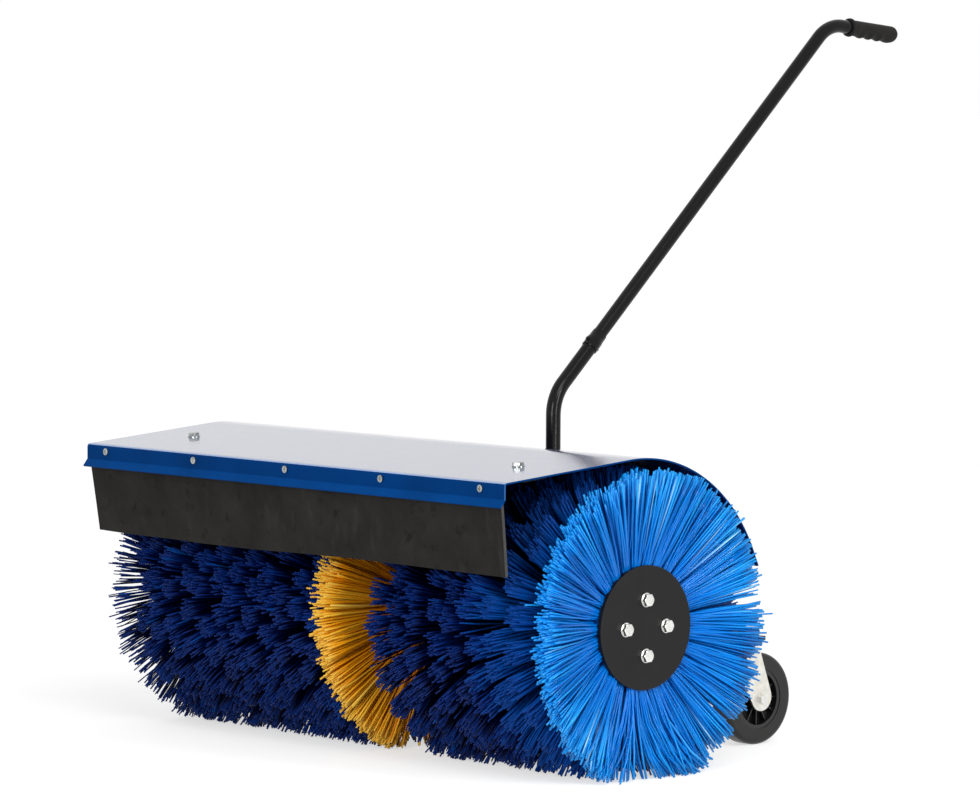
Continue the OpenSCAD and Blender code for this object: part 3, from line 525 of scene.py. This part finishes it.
def flap_points(nx, ns):
    """Front of the flap: x across, s down.

    It hangs plumb behind the flange. Below the flange d grows from 0 to 1 at the lower edge: the flap leans
    in with d, ripples by two sines of x with the square of d, and curls in at its left end with d and the
    square of the way past the curl's start. The lower edge slopes a little and waves by a sine of x.
    """
    x = np.linspace(FLAP_LEFT, FLAP_RIGHT, nx)[:, None]
    s = np.linspace(0, 1, ns)[None, :]
    top = FOLD_Z - FLAP_DROP
    kink = FOLD_Z - FLANGE
    low = AXLE_Z + (FLAP_LOW + FLAP_SLOPE * x / FLAP_HALF) * MM
    z = top + (low - top) * s
    d = np.clip((kink - z) / (kink - low), 0, 1)
    ripple = sum(high * np.sin(waves * x / FLAP_HALF + shift) for high, waves, shift in RIPPLES)
    curl = np.clip((-x - CURL_START) / CURL_WAY, 0, 1) ** 2
    y = FOLD_Y + SHEET + FLAP_LEAN * d
    y = y + d ** 2 * MM * ripple
    y = y + CURL_DEEP * d * curl
    high, waves, shift = EDGE_WAVE
    z = z + high * MM * d * np.sin(waves * x / FLAP_HALF + shift)
    return np.stack(np.broadcast_arrays(x, y + AXLE_Y, z), -1).reshape(-1, 3)


path = hood_path()
points, faces = sheet_along_x(path, HOOD_HALF, HOOD_STEPS_X)
mesh = make_mesh("hood_sheet", points, faces[:, ::-1])
hood = add_piece("hood_sheet", mesh, "frame", "hood_paint", "hood")
for look in HOOD_LOOKS[1:]:
    mesh.materials.append(finishes[look])
mesh.polygons.foreach_set("material_index", hood_looks(len(faces), len(path) - 1))
# The rims take the next finish, so the rims of the flange get the painted highlight.
thicken(hood, SHEET)
soften(hood, 0.5 * MM)

points = flap_points(FLAP_STEPS_X, FLAP_STEPS_DOWN)
mesh = make_mesh("flap_sheet", points, grid_faces(FLAP_STEPS_X, FLAP_STEPS_DOWN))
flap = add_piece("flap_sheet", mesh, "frame", "flap_rubber", "front_flap")
mesh.materials.append(finishes["flap_edge"])
thicken(flap, FLAP_THICK)
soften(flap, 0.6 * MM)


# Bristles

# Radii from the axle: a free strand, the longest one, and what clears the hood and the bolts of its straps
FREE_R = 216 * MM
LONGEST_R = 223 * MM
HOOD_CLEAR = 221.5 * MM
BOLT_CLEAR = 214 * MM

# Half the room along x for all strands, and for the bolts of a strap
END_CLEAR = 479 * MM
STRAP_HALF = 15 * MM

# Spread of the tufts and of the strands in a tuft; each jitter is a normal deviation
TUFT_JITTER = (1.5 * MM, 0.016)
GOLDEN_ANGLE = 2.39996
ROOT_SINK = 1.5 * MM
ROOT_JITTER = 0.5 * MM
TIP_JITTER = 0.2
LENGTH_JITTER = 3.4 * MM
BOW_JITTER = 1.8 * MM
TUFT_CROWN = 2.4 * MM
LEAN_RANGE = (0.6, 1.3)
STRAY_SHARE = 0.035
STRAY_JITTER = 11 * MM

# Bend at the floor: the gap that tips keep above it in mm, the parting in y, and the growth of the bend
FLOOR_GAP = (0.6, 2.6)
PARTING_Y = -45 * MM
PARTING_JITTER = 14 * MM
BEND_GROWTH = 3.2

# One strand: corners of its section, range of its width, tip's share of the width
CORNERS = 4
WIDTH_RANGE = (0.82, 1.15)
TIP_WIDTH = 0.86

# Tone: mean, deviation of a strand and of a tuft; stretch of painted light at the right end, how far that light
# lifts the way along past the painted root shade, and its cap
TONE = 0.43
STRAND_TONE = 0.20
TUFT_TONE = 0.11
PAINTED_LIGHT_WAY = 130 * MM
ROOT_LIFT = 0.3
ROOT_CAP = 0.85
SLEEVE_TONE = 0.2


@dataclass
class Run:
    """Tufts on a stretch of the sleeve.

    The root and tip sizes of a tuft are half sizes along x and around. Each row is turned on by step of a
    pitch. Taller is added to the reach above and below the axle, and painted light to the tone at the right end.
    """

    name: str
    seed: int
    span: tuple
    rows: int
    around: int
    per_tuft: int
    root: tuple
    tip: tuple
    thick: float
    slot: str
    node: str
    lean: float = 0.0
    reach: float = FREE_R
    taller: float = 0.0
    toss: float = 5 * MM
    step: float = 0.5
    painted_end_light: float = 0.0


def tuft_places(rng, run):
    """Staggered tufts as (x, angle), a little uneven.

    Rows are evenly spaced over the span, each turned on by part of a pitch.
    """
    i, k = np.meshgrid(np.arange(run.rows), np.arange(run.around), indexing="ij")
    x = run.span[0] + (run.span[1] - run.span[0]) * (i + 0.5) / run.rows
    a = 2 * np.pi * (k + run.step * i) / run.around
    places = np.stack([x.ravel(), a.ravel()], -1)
    return places + rng.normal(0, 1, places.shape) * np.array(TUFT_JITTER)


def bent_at_floor(rng, y, z, t):
    """Bends strands that are longer than their way down to the floor away from a parting.

    With the length it has too much e and its free length L, a strand's tip rises by e and moves sideways by
    the root of 3.2 e L; both grow with the square of the way along.
    """
    count = len(y)
    over = np.clip(-z[:, -1:] - AXLE_Z + rng.uniform(*FLOOR_GAP, (count, 1)) * MM, 0, None)
    side = np.sign(y[:, -1:] - PARTING_Y + rng.normal(0, PARTING_JITTER, (count, 1)))
    y = y + side * np.sqrt(BEND_GROWTH * over * (FREE_R - SLEEVE_R)) * t ** 2
    return y, z + over * t ** 2


def drawn_in(x, y, z):
    """Draws points in towards the axle, to clear the hood and the bolts of its straps on a full turn."""
    room = np.where(np.abs(np.abs(x) - STRAP_X) < STRAP_HALF, BOLT_CLEAR, HOOD_CLEAR)
    fit = np.minimum(room / np.hypot(y, z), 1)
    return y * fit, z * fit


def strand_paths(rng, tufts, run):
    """Centre lines of the strands of many tufts.

    The strands of a tuft start close together over the root size and fan out to the tip size on a sunflower
    spread. They lean along x, are tossed as a tuft, vary in length and bow a little, and about one in thirty
    strays. Above and below the axle they reach farther, by the size of the sine of the angle. At last they
    are bent at the floor and drawn in to clear what is around them.
    """
    each = run.per_tuft
    count = len(tufts) * each
    k = np.tile(np.arange(each), len(tufts))
    turn = rng.uniform(0, 2 * np.pi, len(tufts)).repeat(each) + k * GOLDEN_ANGLE
    far = np.sqrt((k + 0.5) / each)
    spread = np.stack([far * np.cos(turn), far * np.sin(turn)], -1)
    start = spread * np.asarray(run.root) + rng.normal(0, ROOT_JITTER, (count, 2))
    end = spread * np.asarray(run.tip) + rng.normal(0, TIP_JITTER, (count, 2)) * np.asarray(run.tip)
    end += rng.normal(0, run.toss, (len(tufts), 2)).repeat(each, axis=0)
    end += (rng.random(count) < STRAY_SHARE)[:, None] * rng.normal(0, STRAY_JITTER, (count, 2))
    end[:, 0] += run.lean * rng.uniform(*LEAN_RANGE, count)
    bow = rng.normal(0, BOW_JITTER, (count, 2))
    angle = tufts[:, 1].repeat(each)
    reach = run.reach + run.taller * np.abs(np.sin(angle))
    reach = reach + rng.normal(0, LENGTH_JITTER, count) - TUFT_CROWN * far ** 2
    t = np.array([0.0, 0.4, 0.75, 1.0])[None, :]
    root_r = SLEEVE_R - ROOT_SINK
    r = root_r + (np.minimum(reach, LONGEST_R) - root_r)[:, None] * t
    way = t[..., None]
    off = start[:, None] * (1 - way) + end[:, None] * way + bow[:, None] * (4 * way * (1 - way))
    cos = np.cos(angle)[:, None]
    sin = np.sin(angle)[:, None]
    x = tufts[:, 0].repeat(each)[:, None] + off[..., 0]
    y = r * cos - off[..., 1] * sin
    z = r * sin + off[..., 1] * cos
    y, z = bent_at_floor(rng, y, z, t)
    y, z = drawn_in(x, y, z)
    x = np.clip(x, -END_CLEAR, END_CLEAR)
    return np.stack([x, y + AXLE_Y, z + AXLE_Z], -1)


def strand_mesh(rng, paths, run):
    """Four sided strands round centre lines, a little thinner at the tip, each closed by a flat cut.

    A strand's tone is partly its own and partly its tuft's. In a run with painted light at the right end the tone
    also grows with x over the last stretch, and the painted shade at the root gets shorter.
    """
    count, steps = paths.shape[:2]
    ring = steps * CORNERS
    along = unit(np.gradient(paths, axis=1))
    side = unit(np.cross(along, np.array([1.0, 0.02, 0.01])))
    other = np.cross(along, side)
    quarter = np.pi / 2
    spin = rng.uniform(0, quarter, count)[:, None, None, None]
    spin = spin + np.arange(CORNERS)[None, None, :, None] * quarter
    taper = np.linspace(1.0, TIP_WIDTH, steps)[None, :, None, None]
    width = (run.thick * rng.uniform(*WIDTH_RANGE, count))[:, None, None, None] / 2 * taper
    turn = np.cos(spin) * side[:, :, None] + np.sin(spin) * other[:, :, None]
    points = paths[:, :, None] + width * turn
    base = (np.arange(count) * ring)[:, None, None]
    sides = (base + grid_faces(steps, CORNERS, False, True)[None]).reshape(-1, 4)
    tips = (base + np.arange(ring - CORNERS, ring)[None, None]).reshape(-1, CORNERS)
    mesh = make_mesh(run.name, points.reshape(-1, 3), sides, tips)
    tone = rng.normal(TONE, STRAND_TONE, count)
    tone = tone + rng.normal(0, TUFT_TONE, count // run.per_tuft).repeat(run.per_tuft)
    # Painted light: towards the right end the tone rises and the painted root shade is shortened, as where the
    # side light falls.
    lift = run.painted_end_light * np.clip((paths[:, 0, 0] - run.span[1]) / PAINTED_LIGHT_WAY + 1, 0, 1)
    add_values(mesh, "tone", np.repeat(np.clip(tone + lift, 0, 1), ring))
    way = np.linspace(0, 1, steps)[None, :, None]
    way = np.maximum(way, np.minimum(way + ROOT_LIFT * lift[:, None, None], ROOT_CAP))
    add_values(mesh, "along", np.broadcast_to(way, (count, steps, CORNERS)))
    return mesh


def bristle_piece(run):
    """One run of tufts as a piece that rides on the brush."""
    rng = np.random.default_rng(run.seed)
    paths = strand_paths(rng, tuft_places(rng, run), run)
    add_piece(run.name, strand_mesh(rng, paths, run), "brush", run.slot, run.node)


def sleeve(name, x0, x1, slot, node):
    """Backing sleeve of bristles: a ring from x0 to x1 with its outer edges cut off by a millimetre."""
    end = x1 - x0
    cut = 1 * MM
    outside = [(0, SLEEVE_R - cut), (cut, SLEEVE_R), (end - cut, SLEEVE_R), (end, SLEEVE_R - cut)]
    inside = [(end, SLEEVE_IN), (0, SLEEVE_IN)]
    points, faces = turned(outside + inside, (x0, AXLE_Y, AXLE_Z), (1, 0, 0))
    mesh = make_mesh(name, points, faces)
    add_values(mesh, "tone", np.full(len(points), SLEEVE_TONE))
    # At the start of along the sleeve takes the strands' painted root shade.
    add_values(mesh, "along", np.zeros(len(points)))
    piece = add_piece(name, mesh, "brush", slot, node)
    soften(piece, 0.3 * MM)


# Dark blue runs: their common sizes, and the start and length of one stretch in mm
NAVY = dict(
    rows=4,
    around=28,
    per_tuft=42,
    root=(6 * MM, 7 * MM),
    tip=(12.5 * MM, 16 * MM),
    thick=3.0 * MM,
    slot="bristle_navy",
)
LEFT_START, LEFT_LONG = -418, 141
RIGHT_START, RIGHT_LONG = 101, 159.5

for k in range(3):
    lo = (LEFT_START + LEFT_LONG * k) * MM
    span = (lo, lo + LEFT_LONG * MM)
    bristle_piece(Run("navy_left_%d" % k, 11 + k, span, node="bristles_left", **NAVY))
for k in range(2):
    lo = (RIGHT_START + RIGHT_LONG * k) * MM
    span = (lo, lo + RIGHT_LONG * MM)
    # The second right stretch gets painted light at its right end, next to the end ring.
    bristle_piece(Run("navy_right_%d" % k, 21 + k, span, node="bristles_right", painted_end_light=1.7 * k, **NAVY))
navy_edge = Run(
    "navy_edge",
    seed=17,
    span=(-440 * MM, -418 * MM),
    rows=2,
    around=50,
    per_tuft=10,
    root=(5 * MM, 6 * MM),
    tip=(11 * MM, 14 * MM),
    thick=2.5 * MM,
    slot="bristle_navy",
    node="bristles_left",
    lean=-19 * MM,
    toss=4 * MM,
)
gold_ring = Run(
    "gold_ring",
    seed=31,
    span=(7 * MM, 29 * MM),
    rows=2,
    around=32,
    per_tuft=28,
    root=(5 * MM, 7 * MM),
    tip=(10 * MM, 19 * MM),
    thick=3.3 * MM,
    slot="bristle_gold",
    node="bristles_centre",
    lean=-11 * MM,
    toss=3 * MM,
)
azure_ring = Run(
    "azure_ring",
    seed=41,
    span=(421 * MM, 440 * MM),
    rows=2,
    around=27,
    per_tuft=38,
    root=(4.5 * MM, 7 * MM),
    tip=(6.5 * MM, 19 * MM),
    thick=3.4 * MM,
    slot="bristle_azure",
    node="bristles_end",
    lean=27 * MM,
    reach=FREE_R - 9 * MM,
    taller=9 * MM,
    toss=3.5 * MM,
    step=0.35,
)
for run in (navy_edge, gold_ring, azure_ring):
    bristle_piece(run)
sleeve("sleeve_left", -440 * MM, 5 * MM, "bristle_navy", "bristles_left")
sleeve("sleeve_centre", 6 * MM, 29 * MM, "bristle_gold", "bristles_centre")
sleeve("sleeve_right", 101 * MM, 420 * MM, "bristle_navy", "bristles_right")
sleeve("sleeve_end", 421 * MM, 440.5 * MM, "bristle_azure", "bristles_end")


# Bolts of the end discs and of the hood top

# Rows of (way along, radius, 1 on the hexagon), and the hexagon's flats, all in shank radii
SHANK = [(-3.0, 0.9, 0), (-2.9, 1.0, 0), (0.0, 1.0, 0)]
WASHER = [(0.0, 1.9, 0), (0.28, 1.9, 0), (0.34, 1.82, 0)]
HEAD = [(0.34, 1.8, 1), (0.40, 1.8, 1), (1.30, 1.8, 1), (1.38, 1.72, 1), (1.44, 1.58, 1), (1.48, 1.40, 1)]
HEAD_TOP = [(1.48, 0.8, 0), (1.46, 0.02, 0)]
FLATS = 1.55

# Distance of the disc bolts from the axle
DISC_BOLT_R = 38.5 * MM

# Edges that turn by more than this stay sharp
SHARP = math.radians(32)


def hex_bolt(start, axis, size, low):
    """Hexagon bolt with shank and washer about an axis; the washer lies on start, low flattens the head.

    Shank, washer and the rounded edge of the head are rings. On the head the radius is that of a hexagon, a
    flat's distance over the cosine of the angle from its middle, cut off where the rounded edge is smaller.
    """
    axis = np.asarray(axis, float)
    a = full_turn(ROUND)[None, :]
    flat = FLATS * size / np.cos((a + np.pi / 6) % (np.pi / 3) - np.pi / 6)
    rows = np.array(SHANK + WASHER + HEAD + HEAD_TOP)
    rows[len(SHANK):, 0] *= low
    ring = np.broadcast_to(rows[:, 1:2] * size, (len(rows), ROUND))
    r = np.where(rows[:, 2:] > 0, np.minimum(flat, ring), ring)
    up = unit(np.cross(axis, [0.0, 1.0, 0.0]))
    side = np.cross(axis, up)
    centres = np.asarray(start) + rows[:, :1] * size * axis
    turn = np.cos(a)[..., None] * up + np.sin(a)[..., None] * side
    return closed_ends(centres, centres[:, None] + r[..., None] * turn)


def bolt_piece(name, places, size, low, body, look, node):
    """Bolts at many places, each a start and an axis, as one piece."""
    made = [hex_bolt(start, axis, size, low) for start, axis in places]
    shift = np.cumsum([0] + [len(m[0]) for m in made[:-1]])
    sets = [np.concatenate([m[i] + n for m, n in zip(made, shift)]) for i in (1, 2)]
    mesh = make_mesh(name, np.concatenate([m[0] for m in made]), *sets)
    mesh.set_sharp_from_angle(angle=SHARP)
    add_piece(name, mesh, body, "zinc", node, look)


def disc_bolt_places():
    """Four bolts on a square in the outside of each end disc."""
    places = []
    for name, side in (("end_disc_left", -1), ("end_disc_right", 1)):
        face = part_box(name)[(side + 1) // 2][0]
        for y, z in DISC_BOLT_R * np.stack([np.cos(full_turn(4)), np.sin(full_turn(4))], -1):
            places.append(((face, AXLE_Y + y, AXLE_Z + z), (side, 0, 0)))
    return places


def top_bolt_places():
    """Two bolts square to the hood top."""
    z = FOLD_Z + (TOP_BOLT_Y - FOLD_Y) * math.tan(TILT)
    up = (0, -math.sin(TILT), math.cos(TILT))
    return [((x, TOP_BOLT_Y + AXLE_Y, z), up) for x in (-TOP_BOLT_X, TOP_BOLT_X)]


bolt_piece(
    "end_bolt_heads",
    disc_bolt_places(),
    size=5.2 * MM,
    low=1.0,
    body="brush",
    look="zinc",
    node="end_bolts",
)
bolt_piece(
    "hood_bolt_heads",
    top_bolt_places(),
    size=4.7 * MM,
    low=0.9,
    body="frame",
    look="bolt_zinc",
    node="hood_bolts",
)


# Handle

# Corner of the top bend, slopes of the tube below and beyond it, and ways measured from the corner
TOP = np.array([0.0, 822 * MM + AXLE_Y, 1040.5 * MM])
RISE = math.radians(43.6)
DIP = math.radians(6)
UP_WAY = np.array([0.0, math.cos(RISE), math.sin(RISE)])
ACROSS = np.array([0.0, -math.sin(RISE), math.cos(RISE)])
GRIP_WAY = np.array([0.0, math.cos(DIP), -math.sin(DIP)])
TOP_TAN = 30 * MM
TUBE_END = 60 * MM
TUBE_START = 692 * MM
TUBE_R = 10.3 * MM
COLLAR_START = 698 * MM
SCREW_WAY = 689 * MM

# Grip: its start from the corner, both ends of its straight body as (way along, radius), and its bumps
GRIP_START = 44 * MM
BODY_START = (8 * MM, 12.2 * MM)
BODY_END = (94.5 * MM, 12.5 * MM)
BUMP_HIGH = 2.0 * MM
BUMP_FADE = 10 * MM

# Profiles of (way along, radius), and the grip's bumps as (way along, width), all in mm
GRIP_FRONT = [(0, 9.6), (0, 13.0), (0.6, 14.1), (3.4, 14.4), (4.4, 13.8), (5.0, 12.6)]
GRIP_BUMPS = ((27, 5.0), (46, 4.4), (66, 4.4), (87, 9.0))
COLLAR = [(0, 10.9), (0, 12.0), (0.6, 12.4), (16, 12.4), (17, 11.9), (30, 11.4), (31, 10.2)]
SCREW_HALF = [(12, 2.8), (12, 3.6), (13.6, 3.6), (14.4, 2.6), (14.6, 0.4)]
SCREW = [(-s, r) for s, r in reversed(SCREW_HALF)] + SCREW_HALF


def ringed(centres, ways, radii, around=ROUND):
    """Rings of the given radii round a path in the plane of y and z.

    The angle runs from the upper side towards x.
    """
    a = full_turn(around)
    x = np.array([1.0, 0.0, 0.0])
    up = np.cross(x, ways)
    turn = np.cos(a)[None, :, None] * up[:, None] + np.sin(a)[None, :, None] * x
    return closed_ends(centres, centres[:, None] + np.asarray(radii).reshape(len(centres), -1, 1) * turn)


def upper_tube():
    """Tube from inside the collar up the slope, round the top bend and on into the grip."""
    bend = TOP_TAN / math.tan((RISE + DIP) / 2)
    low = TOP - TOP_TAN * UP_WAY
    middle = low + bend * np.array([0.0, math.sin(RISE), -math.cos(RISE)])
    round_top = arc(middle[1], middle[2], bend, math.pi / 2 + RISE, math.pi / 2 - DIP, 24)
    slope = line(TOP - TUBE_START * UP_WAY, low, 40)
    level = line(TOP + TOP_TAN * GRIP_WAY, TOP + TUBE_END * GRIP_WAY, 6)
    centres = np.concatenate([slope[:-1], np.pad(round_top, ((0, 0), (1, 0))), level[1:]])
    ways = unit(np.gradient(centres, axis=0))
    return ringed(centres, ways, np.full(len(centres), TUBE_R), 48)


def straight_piece(start, way, profile, around=ROUND):
    """Profile of (way along, radius) in mm, turned about a straight line in the plane of y and z."""
    profile = np.array(profile) * MM
    centres = start + profile[:, :1] * way
    return ringed(centres, np.broadcast_to(way, centres.shape), profile[:, 1], around)


def grip_sleeve():
    """Rubber grip on the end of the handle.

    A profile of (way along, radius) is turned about the tube: flange, straight body and round end. On the
    lower half the radius grows by four bumps in a row, a bell each, weighted by how far a point faces down.
    They fade out over the last 10 mm.
    """
    body = line(BODY_START, BODY_END, 64)
    end_way, end_r = BODY_END
    end = arc(end_way, 0.0, end_r, math.radians(86), 0.04, 14)
    profile = np.concatenate([np.array(GRIP_FRONT) * MM, body, end])
    s, r = profile[:, :1], profile[:, 1:]
    down = np.clip(-np.cos(full_turn(ROUND)[None, :]), 0, 1) ** 0.8
    bump = sum(np.exp(-((s - at * MM) / (wide * MM)) ** 2) for at, wide in GRIP_BUMPS)
    fade = np.clip((end_way + end_r - s) / BUMP_FADE, 0, 1)
    r = r + BUMP_HIGH * bump * down * fade
    centres = TOP + (GRIP_START + s) * GRIP_WAY
    return ringed(centres, np.broadcast_to(GRIP_WAY, centres.shape), r)


add_piece("grip_sleeve", make_mesh("grip_sleeve", *grip_sleeve()), "frame", "grip_rubber", "handle_grip")
add_piece("upper_tube", make_mesh("upper_tube", *upper_tube()), "frame", "handle_paint", "handle_upper")
mesh = make_mesh("collar_ring", *straight_piece(TOP - COLLAR_START * UP_WAY, UP_WAY, COLLAR))
mesh.set_sharp_from_angle(angle=SHARP)
add_piece("collar_ring", mesh, "frame", "handle_paint", "handle_collar")
mesh = make_mesh("collar_screw", *straight_piece(TOP - SCREW_WAY * UP_WAY, ACROSS, SCREW, 32))
mesh.set_sharp_from_angle(angle=math.radians(50))
add_piece("collar_screw", mesh, "frame", "handle_paint", "collar_bolt")


# Stage, lights and camera

FLOOR_HALF = 70.0
SUN_AWAY = 4.0


def seen_plainly(tree):
    """Socket that is 1 for rays from camera, gloss and glass, and 0 for the light that falls on things."""
    path = tree.nodes.new("ShaderNodeLightPath")
    seen = path.outputs["Is Camera Ray"]
    for name in ("Is Glossy Ray", "Is Transmission Ray"):
        most = tree.nodes.new("ShaderNodeMath")
        most.operation = "MAXIMUM"
        tree.links.new(seen, most.inputs[0])
        tree.links.new(path.outputs[name], most.inputs[1])
        seen = most.outputs[0]
    return seen


def flat_floor(glow):
    """Pale floor: a plain plate that keeps the sweeper's shadow; where it is seen it is lifted by glow."""
    corners = FLOOR_HALF * np.array([[-1, -1, 0], [1, -1, 0], [1, 1, 0], [-1, 1, 0]], float)
    mesh = make_mesh("floor", corners, np.array([[0, 1, 2, 3]]))
    obj = bpy.data.objects.new("floor", mesh)
    bpy.context.scene.collection.objects.link(obj)
    f = Finish("floor_white", Roughness=0.9, Specular_IOR_Level=0.1, Emission_Color=(1, 1, 1, 1))
    f.colour(f.ramp(f.noise(3.0, 2.0), (0.3, (0.61, 0.61, 0.61)), (0.7, (0.64, 0.64, 0.64))))
    f.put(f.shader.inputs["Emission Strength"], f.level(seen_plainly(f.tree), 0.0, glow))
    mesh.materials.append(f.mat)


def white_room(level):
    """Even light of the given level; rays from the camera, gloss and glass see plain white."""
    world = bpy.data.worlds.new("studio")
    bpy.context.scene.world = world
    world.use_nodes = True
    tree = world.node_tree
    back = tree.nodes["Background"]
    span = tree.nodes.new("ShaderNodeMapRange")
    tree.links.new(seen_plainly(tree), span.inputs["Value"])
    span.inputs["To Min"].default_value = level
    span.inputs["To Max"].default_value = 1.0
    tree.links.new(span.outputs["Result"], back.inputs["Strength"])
    back.inputs["Color"].default_value = (1, 1, 1, 1)


def stand(name, data, place, right, up, back):
    """Lamp or camera at a place, with its own x, y and z along right, up and back."""
    obj = bpy.data.objects.new(name, data)
    obj.matrix_world = Matrix([[right[i], up[i], back[i], place[i]] for i in range(3)] + [[0, 0, 0, 1]])
    bpy.context.scene.collection.objects.link(obj)
    return obj


def level_axes(back):
    """Right, up and back of length one, for a lamp that shines away from back and isn't tipped sideways."""
    back = unit(back)
    right = unit(np.cross([0.0, 0.0, 1.0], back))
    return right, np.cross(back, right), back


def soft_sun(name, towards, strength, spread):
    """Wide soft light from far off that shines from the given direction."""
    lamp = bpy.data.lights.new(name, "SUN")
    lamp.energy = strength
    lamp.angle = math.radians(spread)
    stand(name, lamp, SUN_AWAY * unit(towards), *level_axes(towards))


def tall_lamp(name, place, aim, wide, high, power):
    """Upright soft box that stands at a place and faces a point."""
    lamp = bpy.data.lights.new(name, "AREA")
    lamp.shape = "RECTANGLE"
    lamp.size = wide
    lamp.size_y = high
    lamp.energy = power
    obj = stand(name, lamp, place, *level_axes(np.subtract(place, aim)))
    obj.visible_camera = False


def set_camera(place, azimuth, elevation, roll, lens):
    """Camera that looks along azimuth and elevation from its place, turned by roll about that line."""
    az, el, ro = np.radians([azimuth, elevation, roll])
    back = np.array([np.sin(az) * np.cos(el), -np.cos(az) * np.cos(el), np.sin(el)])
    right = np.array([np.cos(az), np.sin(az), 0.0])
    up = np.cross(back, right)
    side = np.cos(ro) * right + np.sin(ro) * up
    over = np.cos(ro) * up - np.sin(ro) * right
    cam = bpy.data.cameras.new("view")
    cam.sensor_fit = "HORIZONTAL"
    cam.sensor_width = 36.0
    cam.lens = lens
    cam.clip_end = 200.0
    bpy.context.scene.camera = stand("view", cam, place, side, over, back)


flat_floor(glow=0.6)
white_room(level=0.44)
soft_sun("key", towards=(0.72, -0.30, 0.62), strength=1.0, spread=30)
tall_lamp("right_box", (2.7, -0.15, 0.9), aim=(0.2, -0.3, 0.4), wide=0.28, high=1.6, power=27.0)
tall_lamp("front_box", (1.5, -3.4, 0.9), aim=(0.0, -0.35, 0.25), wide=0.9, high=1.6, power=50.0)
set_camera(
    place=(5.25492, -4.70939 + AXLE_Y, 0.97500),
    azimuth=47.42342,
    elevation=3.87958,
    roll=0.26651,
    lens=181.3532,
)
bpy.context.scene.view_settings.view_transform = "Standard"
